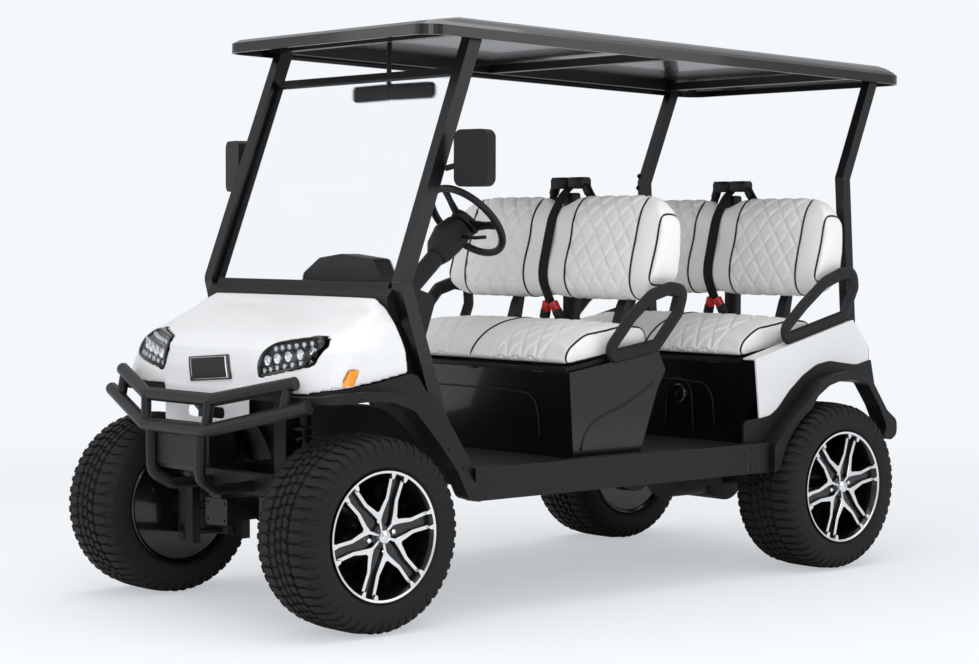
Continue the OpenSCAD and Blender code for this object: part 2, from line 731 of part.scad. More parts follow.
module seat_base_outer() across(-base_half_w, base_half_w, [[0, 728], [19, floor_z + gap],
    [320, floor_z + gap], [400, 660], [438, 722], [404, 788]]);

module seat_base_inner() across(-base_half_w + base_t, base_half_w - base_t, [[base_t, 700],
    [19 + base_t, floor_z + base_t], [316, floor_z + base_t], [393, 663], [430, 722], [398, 840],
    [base_t, 800]]);

module wheel_well(r, wall = 0) both() translate([well_x - wall, rear_y, axle_z]) rotate([0, 90, 0])
    cylinder(r = r, h = 200);

module seat_base_rear() difference() {
    translate([0, row_front + seat_pitch, 0]) seat_base_outer();
    difference() {
        translate([0, row_front + seat_pitch, 0]) seat_base_inner();
        wheel_well(tyre_r + 24 + base_t, base_t);
    }
    wheel_well(tyre_r + 24);
}

module seat_bases() color(soft_black) {
    translate([0, row_front, 0]) difference() {
        seat_base_outer();
        seat_base_inner();
    }
    seat_base_rear();
}

rim_u = unit([404, 60]);
function on_rim(s, n) = [0, 728] + rim_u * s + [-rim_u[1], rim_u[0]] * n;

module seat_pan() color(soft_black) across(-seat_half_w, seat_half_w, [on_rim(4, gap), on_rim(398, gap),
    on_rim(398, gap + pan_t), on_rim(4, gap + pan_t)]);

module cushion() color(leather) {
    n0 = 2 * gap + pan_t;
    across(-seat_half_w, seat_half_w, [on_rim(8, n0), on_rim(396, n0), on_rim(400, 62), on_rim(380, 92),
        on_rim(300, 112), on_rim(110, 112), on_rim(30, 78), on_rim(6, 40)]);
}

module front_seat_pan() translate([0, row_front, 0]) seat_pan();
module rear_seat_pan() translate([0, row_front + seat_pitch, 0]) seat_pan();
module front_cushion() translate([0, row_front, 0]) cushion();
module rear_cushion() translate([0, row_front + seat_pitch, 0]) cushion();

// The bench back seen from in front: two humps with a dip between them and round lower corners
function back_half(s) = [[s * 90, 1314, 90], [s * back_half_w, 1314, 140],
    [s * back_half_w, 944, 120], [s * 90, 944, 60]];
function back_corners() = let (r = back_half(1), l = back_half(-1))
    [[0, 1266, 60], each r, [0, 960, 60], l[3], l[2], l[1], l[0]];
function rounded_outline(c) = let (n = len(c), p = [for (q = c) [q[0], q[1]]])
    [for (i = [0:n - 1]) each corner([p[wrap(i - 1, n)], p[i], p[wrap(i + 1, n)]], 1, c[i][2])];

module backrest() color(leather) intersection() {
    across(-back_half_w, back_half_w, [[337, 1010], [347, 975], [372, 950], [410, 944], [470, 962],
        [490, 1100], [495, 1200], [476, 1290], [455, 1314], [432, 1304], [400, 1264], [385, 1160]]);
    translate([0, 600, 0]) rotate([90, 0, 0]) linear_extrude(300) polygon(rounded_outline(back_corners()));
}

module backrests() for (i = [0, 1]) translate([0, row_front + i * seat_pitch, 0]) backrest();

// What stands on the base's rear edge behind a backrest, up to the backrest's lower third
back_stem = [[438.3, 722.2], [404.3, 788.2], [452, 930], [470.4, 962.2], [490.4, 1100]];

module back_supports() color(soft_black) for (i = [0, 1]) translate([0, row_front + i * seat_pitch, 0])
    both() across(250, 290, concat(back_stem, [[502, 1098], [484, 950]]));

body_u = unit([512, 122]);
function on_body(s, n) = [rear_y - 358, 747] + body_u * s + [-body_u[1], body_u[0]] * n;
function at(x, q) = [x, q[0], q[1]];

hip_depth = 11;
hip_bend = 26;

module hip_restraints() color(soft_black) both() {
    foot = hip_r + gap;
    front_x = base_half_w + 2;
    rear_x = rear_half_w - 22;
    translate([0, row_front, 0]) tube_loop([at(front_x, on_rim(395, foot)),
        at(front_x, on_rim(150, foot)), [front_x + 28, 250, 905], [front_x + 43, 325, 972],
        [front_x + 47, 400, 993], [front_x + 47, 470, 984], [front_x + 32, 462, 915]],
        hip_depth, hip_r, hip_bend);
    translate([0, rear_y, 0]) tube_loop([at(rear_x, on_body(500, foot) - [rear_y, 0]),
        at(rear_x, on_body(112, foot) - [rear_y, 0]), [rear_x + 10, -101.5, 925],
        [rear_x + 12, 8.5, 1003], [rear_x + 12, 93.5, 1032], [rear_x + 12, 161.5, 1034],
        [rear_x + 10, 171.5, 985]], hip_depth, hip_r, hip_bend);
}

// Rear body

body_end_y = rear_y + 240;

function rear_outline() = shift(concat([[-358, 747], [154, 869], [232, 785]],
    [for (q = reversed(rounded_path(rear_edge, 2 * band_bend))) q + [0, gap]]), rear_y);

module rear_body() color(white) {
    panel_in_x = rear_half_w - panel_t - gap;
    shelf_y = row_front + seat_pitch + 445;
    both() {
        across(rear_half_w - panel_t, rear_half_w, rear_outline());
        across(base_half_w + gap, rear_half_w - panel_t / 2,
            [on_body(4, -1), on_body(516, -1), on_body(516, -panel_t), on_body(4, -panel_t)]);
    }
    translate([-panel_in_x, body_end_y - panel_t, 640]) cube([2 * panel_in_x, panel_t, 140]);
    translate([-rear_half_w, body_end_y - panel_t, 724]) cube([2 * rear_half_w, panel_t, 56]);
    translate([-panel_in_x, shelf_y, shelf_z]) cube([2 * panel_in_x, body_end_y - shelf_y - 1, panel_t]);
}

module tail_lamps() color("red") both() translate([rear_half_w - 48, body_end_y + gap, 700])
    cube([40, 12, 66]);

module rear_bumper() color(black) translate([-380, rear_y + 260 + gap, rail_z]) cube([760, 40, 70]);

module belt_tower() color(soft_black) for (i = [0, 1]) translate([0, row_front + i * seat_pitch, 0])
    across(-60, 60, concat(back_stem, [[495.4, 1200], [476.4, 1290.5], [449, 1325], [470, 1346],
        [540, 1340], [513, 1200], [506, 1098], [486, 950]]));

module seat_belts() color(soft_black) for (i = [0, 1]) translate([0, row_front + i * seat_pitch, 0])
    across(-24, 24, [[336.5, 1010], [384.5, 1160.5], [399.6, 1265], [433, 1306], [447, 1325],
        [444, 1326], [430, 1307], [397.5, 1266], [382.5, 1161], [334.2, 1010], [344, 970], [360, 931.5],
        [362.4, 932.5], [346.4, 971]]);

module belt_buckles() color("red") for (i = [0, 1]) translate([0, row_front + i * seat_pitch, 0])
    for (x = [-30, 30]) across(x - 12, x + 12, [[360, 930], [384, 880], [432, 880], [436.6, 887],
        [404, 890], [386, 937]]);

// Steering

wheel_c = [262, front_y + 645, 1214];
wheel_tilt = 42;
wheel_ring_r = 138;
wheel_tube_r = 12;

module steering_wheel() color(soft_black) translate(wheel_c) rotate([wheel_tilt - 90, 0, 0]) {
    rotate_extrude() translate([wheel_ring_r, 0]) circle(r = wheel_tube_r);
    translate([0, 0, -30]) cylinder(r = 40, h = 30);
    for (a = [90, 210, 330]) rotate([0, 0, a]) translate([30, -14, -16]) cube([wheel_ring_r - 36, 28, 12]);
}

module steering_column() color(soft_black) difference() {
    translate(wheel_c) rotate([wheel_tilt - 90, 0, 0]) translate([0, 0, -520])
        cylinder(r = 30, h = 520 - 30 - gap);
    across(0, 500, concat([[front_y + 100, 500], [front_y + 100, 1100]],
        [for (i = [2:6]) dash_outline(gap)[i]], [[front_y + 262, 500]]));
}

toe_u = unit([sill_front_y - toe_y, floor_z - toe_z]);
toe_n = [-toe_u[1], toe_u[0]];
function on_toe(s, n) = [toe_y, toe_z] + toe_u * s + toe_n * n;

module pedals() color(black) for (x = [190, 320]) {
    across(x - 35, x + 35, [on_toe(30, 50), on_toe(130, 50), on_toe(130, 58), on_toe(30, 58)]);
    across(x - 8, x + 8, [on_toe(70, gap), on_toe(90, gap), on_toe(90, 51), on_toe(70, 51)]);
}

module battery_pack() color(steel) translate([-380, row_front + 40, floor_z + base_t + gap])
    cube([760, 260, 210]);

frame();
floor_pan();
rocker_panels();
front_cowl();
cowl_top();
dashboard();
head_lamps();
side_markers();
brush_guard();
fender_flares();
front_posts();
windshield_frame();
windshield_upper();
windshield_lower();
roof();
roof_frame();
rear_posts();
mirrors();
seat_bases();
backrests();
back_supports();
hip_restraints();
rear_body();
tail_lamps();
rear_bumper();
belt_tower();
seat_belts();
belt_buckles();
steering_column();
pedals();
front_arms();
front_shocks();
rear_axle();
rear_springs();
battery_pack();
front_seat_pan();
front_cushion();
rear_seat_pan();
rear_cushion();
steering_wheel();
tie_rods();
knuckle();  // knuckle_left
mirror([1, 0, 0]) knuckle();  // knuckle_right
wheel_place(1, front_y) tyre();  // tyre_front_left
wheel_place(-1, front_y) tyre();  // tyre_front_right
wheel_place(1, rear_y) tyre();  // tyre_rear_left
wheel_place(-1, rear_y) tyre();  // tyre_rear_right
wheel_place(1, front_y) rim();  // rim_front_left
wheel_place(-1, front_y) rim();  // rim_front_right
wheel_place(1, rear_y) rim();  // rim_rear_left
wheel_place(-1, rear_y) rim();  // rim_rear_right
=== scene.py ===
"""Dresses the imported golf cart: finishes, quilted benches, tyres, wheels, trim, camera and light."""

import json
import math

import bpy
import bmesh
import numpy as np
from mathutils import Matrix, Vector
from mathutils.bvhtree import BVHTree


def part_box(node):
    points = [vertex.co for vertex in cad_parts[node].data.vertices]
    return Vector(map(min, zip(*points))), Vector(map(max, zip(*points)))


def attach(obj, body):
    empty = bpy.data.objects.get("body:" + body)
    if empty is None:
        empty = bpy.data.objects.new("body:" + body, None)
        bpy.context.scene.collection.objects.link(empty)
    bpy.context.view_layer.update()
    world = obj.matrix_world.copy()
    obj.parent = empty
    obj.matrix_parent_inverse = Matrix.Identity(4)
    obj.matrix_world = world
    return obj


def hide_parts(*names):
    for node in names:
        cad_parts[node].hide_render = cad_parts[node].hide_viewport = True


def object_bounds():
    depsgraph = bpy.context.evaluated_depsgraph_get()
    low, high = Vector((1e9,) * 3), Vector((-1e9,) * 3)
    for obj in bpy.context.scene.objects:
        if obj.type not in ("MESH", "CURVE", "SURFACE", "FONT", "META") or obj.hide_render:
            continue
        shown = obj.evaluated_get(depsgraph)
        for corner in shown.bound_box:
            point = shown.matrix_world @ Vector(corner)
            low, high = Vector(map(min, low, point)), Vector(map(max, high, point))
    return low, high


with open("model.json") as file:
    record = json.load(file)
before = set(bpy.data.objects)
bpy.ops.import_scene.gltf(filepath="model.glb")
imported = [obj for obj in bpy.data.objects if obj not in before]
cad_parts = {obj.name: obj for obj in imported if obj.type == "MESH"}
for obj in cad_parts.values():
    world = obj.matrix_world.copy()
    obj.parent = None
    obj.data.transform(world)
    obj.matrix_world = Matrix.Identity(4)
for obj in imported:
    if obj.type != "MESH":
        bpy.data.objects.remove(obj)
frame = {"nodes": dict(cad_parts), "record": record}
CAD_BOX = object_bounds()
MM = 0.001
RIGHT = Vector((1, 0, 0))
BACKWARD = Vector((0, 1, 0))
UP = Vector((0, 0, 1))
FITTING_EDGE = 35


# Meshes

def linked(name, data):
    """An object in the scene for a mesh, a light or a camera."""
    obj = bpy.data.objects.new(name, data)
    bpy.context.scene.collection.objects.link(obj)
    return obj


def shade_smooth(mesh):
    for p in mesh.polygons:
        p.use_smooth = True


def new_object(name, verts, faces, body):
    """A mesh object in the row frame that rides on a body."""
    mesh = bpy.data.meshes.new(name)
    mesh.from_pydata([tuple(v) for v in verts], [], faces)
    mesh.validate()
    obj = linked(name, mesh)
    outward(obj)
    shade_smooth(mesh)
    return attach(obj, body)


def piece(name, shape, body, finish, edge=None):
    """A finished object from (verts, faces). With edge, edges sharper than that angle stay crisp."""
    obj = new_object(name, *shape, body)
    if edge:
        smooth_by_angle(obj, edge)
    return paint(obj, finish)


def outward(obj):
    """Turns every face of a closed mesh to look out."""
    bm = bmesh.new()
    bm.from_mesh(obj.data)
    bmesh.ops.recalc_face_normals(bm, faces=bm.faces)
    bm.to_mesh(obj.data)
    bm.free()


def smooth_by_angle(obj, degrees):
    """Smooth shading that keeps edges sharper than an angle."""
    bm = bmesh.new()
    bm.from_mesh(obj.data)
    limit = math.radians(degrees)
    for f in bm.faces:
        f.smooth = True
    for e in bm.edges:
        e.smooth = len(e.link_faces) == 2 and e.calc_face_angle(0) < limit
    bm.to_mesh(obj.data)
    bm.free()


def loft(rings, caps=True):
    """Vertices and faces of a skin over rings of equal length."""
    n = len(rings[0])
    verts = [v for ring in rings for v in ring]
    faces = []
    for r in range(len(rings) - 1):
        for i in range(n):
            j = (i + 1) % n
            faces.append((r * n + i, r * n + j, (r + 1) * n + j, (r + 1) * n + i))
    if caps:
        faces.append(tuple(range(n)))
        faces.append(tuple(range((len(rings) - 1) * n, len(rings) * n)))
    return verts, faces


def hoop(rings):
    """Vertices and faces of a skin over rings of which the last joins the first."""
    n, count = len(rings[0]), len(rings)
    faces = []
    for k in range(count):
        m = (k + 1) % count
        for i in range(n):
            j = (i + 1) % n
            faces.append((k * n + i, k * n + j, m * n + j, m * n + i))
    return [v for ring in rings for v in ring], faces


def turns(steps):
    """The angles of so many even steps round a circle."""
    return [2 * math.pi * k / steps for k in range(steps)]


def ellipse(at, side, up, wide, tall, steps):
    """Points round an ellipse, with half sizes wide along side and tall along up."""
    return [at + side * (wide * math.cos(a)) + up * (tall * math.sin(a)) for a in turns(steps)]


def join(parts):
    """One (verts, faces) pair from several."""
    verts, faces = [], []
    for v, f in parts:
        k = len(verts)
        verts += [tuple(p) for p in v]
        faces += [tuple(i + k for i in face) for face in f]
    return verts, faces


def tube(points, r, sides=10, closed=False, flat=1.0):
    """A tube along points, flattened across by flat."""
    pts = [Vector(p) for p in points]
    n = len(pts)
    rings, side = [], None
    for i, p in enumerate(pts):
        a = pts[(i - 1) % n] if closed or i else p
        b = pts[(i + 1) % n] if closed or i < n - 1 else p
        d = (b - a).normalized()
        if side is None:
            side = d.cross(Vector((0, 0, 1)) if abs(d.z) < 0.9 else Vector((1, 0, 0))).normalized()
        side = (side - d * side.dot(d)).normalized()
        up = side.cross(d)
        rings.append(ellipse(p, side, up, r, r * flat, sides))
    return hoop(rings) if closed else loft(rings)


def modifier(obj, kind, **settings):
    m = obj.modifiers.new(kind.lower(), kind)
    for key, value in settings.items():
        setattr(m, key, value)
    return m


def apply_all(obj):
    """Puts the modifiers' result into the mesh."""
    dg = bpy.context.evaluated_depsgraph_get()
    mesh = bpy.data.meshes.new_from_object(obj.evaluated_get(dg))
    obj.modifiers.clear()
    obj.data = mesh


# Materials

MATERIALS = {}
COAT_ROUGHNESS = 0.06
CLOUD_SCALE, CLOUD_DETAIL = 5.0, 4.0
CLOUD_EDGES = (0.35, 0.65)
GRAIN_HEIGHT = 0.001


def paint(obj, name):
    obj.data.materials.clear()
    obj.data.materials.append(MATERIALS[name])
    return obj


def material(name, base, rough, metal=0.0, coat=0.0, grain=None, depth=0.1, vary=0.06, spec=0.5,
             **sockets):
    """A finish that varies a little in colour and roughness, with a fine grain: cells, or noise below 0."""
    m = bpy.data.materials.new(name)
    m.use_nodes = True
    nodes, links = m.node_tree.nodes, m.node_tree.links
    shader = nodes["Principled BSDF"]
    shader.inputs["Metallic"].default_value = metal
    shader.inputs["Coat Weight"].default_value = coat
    shader.inputs["Coat Roughness"].default_value = COAT_ROUGHNESS
    shader.inputs["Specular IOR Level"].default_value = spec
    for key, value in sockets.items():
        shader.inputs[key.replace("_", " ")].default_value = value
    coords = nodes.new("ShaderNodeTexCoord")
    cloud = nodes.new("ShaderNodeTexNoise")
    cloud.inputs["Scale"].default_value = CLOUD_SCALE
    cloud.inputs["Detail"].default_value = CLOUD_DETAIL
    links.new(coords.outputs["Object"], cloud.inputs["Vector"])
    colour = nodes.new("ShaderNodeValToRGB")
    for stop, place, change in zip(colour.color_ramp.elements, CLOUD_EDGES, (1 - vary, 1 + vary)):
        stop.position = place
        stop.color = [min(1, c * change) for c in base] + [1]
    links.new(cloud.outputs["Fac"], colour.inputs["Fac"])
    links.new(colour.outputs["Color"], shader.inputs["Base Color"])
    spread = nodes.new("ShaderNodeMapRange")
    spread.inputs["To Min"].default_value = max(0.02, rough * 0.85)
    spread.inputs["To Max"].default_value = min(1.0, rough * 1.15)
    links.new(cloud.outputs["Fac"], spread.inputs["Value"])
    links.new(spread.outputs["Result"], shader.inputs["Roughness"])
    if grain:
        fine = nodes.new("ShaderNodeTexVoronoi" if grain > 0 else "ShaderNodeTexNoise")
        fine.inputs["Scale"].default_value = abs(grain)
        links.new(coords.outputs["Object"], fine.inputs["Vector"])
        bump = nodes.new("ShaderNodeBump")
        bump.inputs["Strength"].default_value = depth
        bump.inputs["Distance"].default_value = GRAIN_HEIGHT
        links.new(fine.outputs[0], bump.inputs["Height"])
        links.new(bump.outputs["Normal"], shader.inputs["Normal"])
    MATERIALS[name] = m


def make_materials():
    material("black_steel", (0.006, 0.006, 0.0068), 0.42, grain=-900, depth=0.25, vary=0.12, spec=0.35)
    material("black_paint", (0.0048, 0.0048, 0.0054), 0.34, coat=0.12, grain=-700, depth=0.12, vary=0.1,
             spec=0.35)
    material("white_paint", (0.80, 0.805, 0.815), 0.38, coat=0.3, grain=-60, depth=0.02, vary=0.012,
             spec=0.35)
    material("black_gloss", (0.0035, 0.0035, 0.004), 0.24, coat=0.5, grain=-40, depth=0.03, vary=0.1,
             spec=0.35)
    material("black_plastic", (0.0055, 0.0055, 0.0062), 0.42, grain=1500, depth=0.3, vary=0.1, spec=0.3)
    material("floor_mat", (0.010, 0.010, 0.011), 0.66, grain=150, depth=1.0, vary=0.2, spec=0.3)
    material("lamp_glass", (0.9, 0.93, 0.95), 0.04, vary=0.01, Transmission_Weight=0.97, IOR=1.12, Alpha=0.3)
    material("amber_lens", (0.95, 0.33, 0.02), 0.2, coat=0.4, grain=400, depth=0.3)
    material("red_lens", (0.55, 0.012, 0.012), 0.18, coat=0.5, grain=400, depth=0.3)
    material("clear_glass", (0.93, 0.96, 0.97), 0.03, vary=0.01, Transmission_Weight=1.0, IOR=1.02,
             Alpha=0.35)
    material("white_leather", (0.90, 0.89, 0.87), 0.5, grain=900, depth=0.12, vary=0.015, Sheen_Weight=0.1,
             spec=0.3)
    material("belt_webbing", (0.008, 0.008, 0.009), 0.75, grain=1200, depth=0.6, vary=0.15, spec=0.25)
    material("red_plastic", (0.55, 0.008, 0.012), 0.35, grain=900, depth=0.1)
    material("cast_steel", (0.022, 0.022, 0.024), 0.5, metal=0.6, grain=-500, depth=0.5, vary=0.2)
    material("battery_case", (0.012, 0.012, 0.013), 0.5, grain=900, depth=0.2, spec=0.3)
    material("tyre_rubber", (0.0115, 0.011, 0.011), 0.72, grain=700, depth=0.4, vary=0.2, spec=0.25)
    material("machined_alloy", (0.80, 0.81, 0.82), 0.26, metal=1.0, grain=-300, depth=0.08, vary=0.03)
    material("lamp_lens", (0.92, 0.94, 0.96), 0.12, coat=0.6, vary=0.02)
    material("wheel_grip", (0.008, 0.008, 0.009), 0.42, grain=1100, depth=0.35, vary=0.1, spec=0.35)
    material("piping", (0.006, 0.006, 0.007), 0.45, grain=900, depth=0.3, spec=0.3)


# Carried-over solids

FINISHES = {
    "amber_lens": "side_markers",
    "battery_case": "battery_pack",
    "belt_webbing": "seat_belts",
    "black_gloss": "roof seat_bases",
    "black_paint": "front_posts roof_frame rear_posts",
    "black_plastic": "rocker_panels cowl_top dashboard fender_flares windshield_frame mirrors hip_restraints "
                     "belt_tower steering_column pedals front_seat_pan rear_seat_pan steering_wheel",
    "black_steel": "frame brush_guard back_supports rear_bumper",
    "cast_steel": "front_arms front_shocks rear_axle rear_springs tie_rods knuckle_left knuckle_right",
    "clear_glass": "windshield_upper windshield_lower",
    "floor_mat": "floor_pan",
    "lamp_glass": "head_lamps",
    "red_lens": "tail_lamps",
    "red_plastic": "belt_buckles",
    "white_leather": "backrests front_cushion rear_cushion",
    "white_paint": "front_cowl rear_body",
}
FINISH = {name: finish for finish, names in FINISHES.items() for name in names.split()}
EDGE_MM = 1.5
ROUND_MM = {"cowl_top": 4, "dashboard": 5, "roof": 4, "seat_bases": 4, "mirrors": 8, "rocker_panels": 3,
            "front_posts": 4, "rear_posts": 4, "windshield_upper": 0, "windshield_lower": 0,
            "brush_guard": 0, "hip_restraints": 0}
CURVED = {"rear_body", "fender_flares"}
CURVED_ANGLE = 34
BEVEL_ANGLE = 32
COWL_VOXEL = 0.006


def dress_node(name, node):
    """Softens the edges of a CAD solid and gives it its finish."""
    shade_smooth(node.data)
    if name == "front_cowl":
        modifier(node, "REMESH", mode="VOXEL", voxel_size=COWL_VOXEL, use_smooth_shade=True)
        modifier(node, "SMOOTH", factor=0.6, iterations=12)
    elif name in CURVED:
        smooth_by_angle(node, CURVED_ANGLE)
    else:
        width = ROUND_MM.get(name, EDGE_MM) * MM
        if width:
            modifier(node, "BEVEL", width=width, segments=2, limit_method="ANGLE",
                     angle_limit=math.radians(BEVEL_ANGLE), harden_normals=False)
        modifier(node, "WEIGHTED_NORMAL", keep_sharp=True)
    paint(node, FINISH[name])


# Tyres

TYRE_WALL = 0.096
TYRE_STEPS = 144
TREAD_DEPTH = 0.014
PITCHES = 54
MIDDLE_BLOCK = [(-0.011, 0.30), (-0.003, 0.06), (0.009, 0.16), (0.012, 0.66), (0.004, 0.90), (-0.009, 0.80)]
INNER_BLOCK = [(0.016, 0.08), (0.026, -0.12), (0.040, 0.10), (0.043, 0.58), (0.031, 0.78), (0.019, 0.64)]


def cart_wheels():
    for end in ("front", "rear"):
        for side in ("left", "right"):
            lo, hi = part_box(f"tyre_{end}_{side}")
            yield end, side, (lo + hi) / 2, (hi - lo)


def tyre_profile(r, half, rim):
    """Half of a tyre's outline, bead to the middle of its tread: (radius, distance from the middle)."""
    return [(rim - 0.013, half - 0.024), (rim + 0.001, half - 0.012), (rim + 0.008, half - 0.004),
            (rim + 0.022, half - 0.001), (rim + 0.040, half - 0.001), (rim + 0.058, half - 0.004),
            (rim + 0.072, half - 0.010), (rim + 0.080, half - 0.018), (r - 0.012, half - 0.034),
            (r - 0.0105, half * 0.45), (r - 0.010, 0.0)]


def on_wheel(centre, sign, x, r, a):
    return Vector((centre.x + sign * x, centre.y + r * math.cos(a), centre.z + r * math.sin(a)))


def block(centre, sign, outline, root, crown):
    """A tread block: outline of (x, angle) at its root, pulled in a little towards its crown."""
    cx = sum(p[0] for p in outline) / len(outline)
    ca = sum(p[1] for p in outline) / len(outline)

    def ring(scale, height):
        points = [(cx + (x - cx) * scale, x, ca + (a - ca) * scale) for x, a in outline]
        return [on_wheel(centre, sign, narrow, height(x), a) for narrow, x, a in points]
    low = [on_wheel(centre, sign, x, root(x), a) for x, a in outline]
    return loft([low, ring(0.95, lambda x: crown(x) - 0.0015), ring(0.86, crown)])


def shoulder_lug(centre, sign, s, a0, a1, r, half, depth):
    """A lug that wraps over the shoulder and ends on the sidewall, depth below the tread."""
    over = [(half - 0.032, r - 0.0045), (half - 0.016, r - 0.012), (half - 0.0045, r - 0.026),
            (half - 0.001, r - depth)]
    under = [(half - 0.036, r - 0.020), (half - 0.028, r - 0.026), (half - 0.020, r - 0.034),
             (half - 0.012, r - depth - 0.004)]
    slope = 0.10 * (a1 - a0)
    rings = []
    for (x, q), (ux, uq) in zip(over, under):
        rings.append([on_wheel(centre, sign, s * ux, uq, a0), on_wheel(centre, sign, s * x, q, a0 + slope),
                      on_wheel(centre, sign, s * x, q, a1 - slope), on_wheel(centre, sign, s * ux, uq, a1)])
    return loft(rings)


def make_tyre(end, side, centre, size):
    """A tyre's carcass with rows of blocks across its tread and lugs over its shoulders."""
    sign = 1 if side == "left" else -1
    r, half = size.z / 2, size.x / 2
    profile = tyre_profile(r, half, r - TYRE_WALL)
    outline = [(-x, q) for q, x in profile] + [(x, q) for q, x in reversed(profile[:-1])]
    parts = [revolve(centre, sign, outline, TYRE_STEPS)]
    pitch = 2 * math.pi / PITCHES
    edge = half - 0.030
    outer_block = [(0.047, 0.30), (0.058, 0.08), (edge, 0.14), (edge, 0.84), (0.062, 0.92), (0.050, 0.74)]

    def crown(x):
        return r - 0.0105 * (abs(x) / (half - 0.03)) ** 4 * 0.6

    def root(x):
        return crown(x) - TREAD_DEPTH

    def add_block(s, start, block_outline):
        points = [(s * x, start + t * pitch) for x, t in block_outline]
        parts.append(block(centre, sign, points, root, crown))

    for k in range(PITCHES):
        add_block(1, pitch * k, MIDDLE_BLOCK)
        long, deep = (0.84, 0.058) if k % 2 else (0.72, 0.050)
        for s in (-1, 1):
            start = pitch * k + (0.0 if s > 0 else 0.5) * pitch
            add_block(s, start, INNER_BLOCK)
            add_block(s, start, outer_block)
            a0, a1 = start + 0.16 * pitch, start + long * pitch
            parts.append(shoulder_lug(centre, sign, s, a0, a1, r, half, deep))
    obj = piece(f"tread_{end}_{side}", join(parts), f"wheel_{end}_{side}", "tyre_rubber", edge=32)
    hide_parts(f"tyre_{end}_{side}")


# Wheels

SPOKES = 6
SPOKE_TURN = 12
NUTS = 4
NUT_CIRCLE = 0.046
HUB_R = 0.034
FACE_SUNK = 0.018
METAL_EDGE = 30


def revolve(centre, sign, profile, steps=96):
    """Profile points of (x, radius) turned about the axle."""
    return hoop([[on_wheel(centre, sign, x, q, a) for x, q in profile] for a in turns(steps)])


def plate(centre, sign, outline, x0, x1, edge=0.0018):
    """A plate in the wheel's plane from an outline of (radius, angle), with its face edge broken."""
    pts = [Vector((q * math.cos(a), q * math.sin(a))) for q, a in outline]
    c = sum(pts, Vector((0, 0))) / len(pts)

    def ring(x, inset):
        return [Vector((centre.x + sign * x, centre.y + p.x - (p - c).normalized().x * inset,
                        centre.z + p.y - (p - c).normalized().y * inset)) for p in pts]
    return loft([ring(x0, 0), ring(x1 - edge, 0), ring(x1, edge)])


def polar(mid, q, w):
    """Radius and angle of a point q out along the direction mid and w to its side."""
    return math.hypot(q, w), mid + math.atan2(w, q)


def fork_outline(spoke, gap, out):
    """The bright fork between two twin spokes: a stem from the cap and an arm along each spoke."""
    half_fork = [(gap, 0.022, -0.0035), (gap, 0.048, -0.0045), (spoke, 0.066, 0.019), (spoke, 0.112, 0.012),
                 (spoke, out, 0.016), (spoke, out, 0.0265), (spoke, 0.113, 0.0225), (spoke, 0.080, 0.0300),
                 (gap, 0.074, -0.005)]
    near = [polar(*p) for p in half_fork]
    return near + [(q, 2 * gap - a) for q, a in reversed(near)]


def rim_barrel(half, rim):
    """The outline of the barrel that the tyre sits on: (x, radius)."""
    return [(-half + 0.010, rim - 0.002), (-half + 0.006, rim - 0.006), (-half + 0.010, rim - 0.012),
            (-half + 0.030, rim - 0.022), (half - 0.060, rim - 0.026), (half - 0.034, rim - 0.024),
            (half - 0.014, rim - 0.014), (half - 0.007, rim - 0.010), (half - 0.005, rim - 0.003),
            (half - 0.010, rim - 0.001), (half - 0.030, rim - 0.012), (-half + 0.030, rim - 0.014)]


def rim_lip(half, rim):
    return [(half - 0.0065, rim - 0.0105), (half - 0.0045, rim - 0.006), (half - 0.0045, rim - 0.0035),
            (half - 0.008, rim - 0.002), (half - 0.009, rim - 0.010)]


def twin_spoke(centre, sign, spoke, half, rim):
    """The dark and the bright parts of one twin spoke, with the fork beside it and its two rim tabs."""
    face_x = half - FACE_SUNK
    out = rim - 0.022
    fork = fork_outline(spoke, spoke + math.pi / SPOKES, out)
    channel = [polar(spoke, q, w) for q, w in ((0.028, -0.010), (0.06, -0.021), (0.108, -0.014),
                                               (out, -0.018), (out, 0.018), (0.108, 0.014), (0.06, 0.021),
                                               (0.028, 0.010))]
    dark = [plate(centre, sign, fork, face_x - 0.030, face_x - 0.001),
            plate(centre, sign, channel, face_x - 0.030, face_x - 0.013)]
    bright = [plate(centre, sign, fork, face_x - 0.004, face_x + 0.001, edge=0.0012)]
    for s in (-1, 1):
        tab = [polar(spoke, q, s * w) for q, w in ((rim - 0.006, 0.014), (rim - 0.028, 0.018),
                                                   (rim - 0.028, 0.027), (rim - 0.007, 0.036))]
        bright.append(plate(centre, sign, tab, half - 0.016, half - 0.0055, edge=0.0015))
        stud = round_the_axle(centre, *polar(spoke, rim - 0.015, s * 0.0245))
        bright.append(revolve(stud, sign, [(half - 0.007, 0.0036), (half - 0.0043, 0.0032),
                                           (half - 0.0038, 0.0003), (half - 0.007, 0.0003)], steps=12))
    return dark, bright


def round_the_axle(centre, q, a):
    return Vector((centre.x, centre.y + q * math.cos(a), centre.z + q * math.sin(a)))


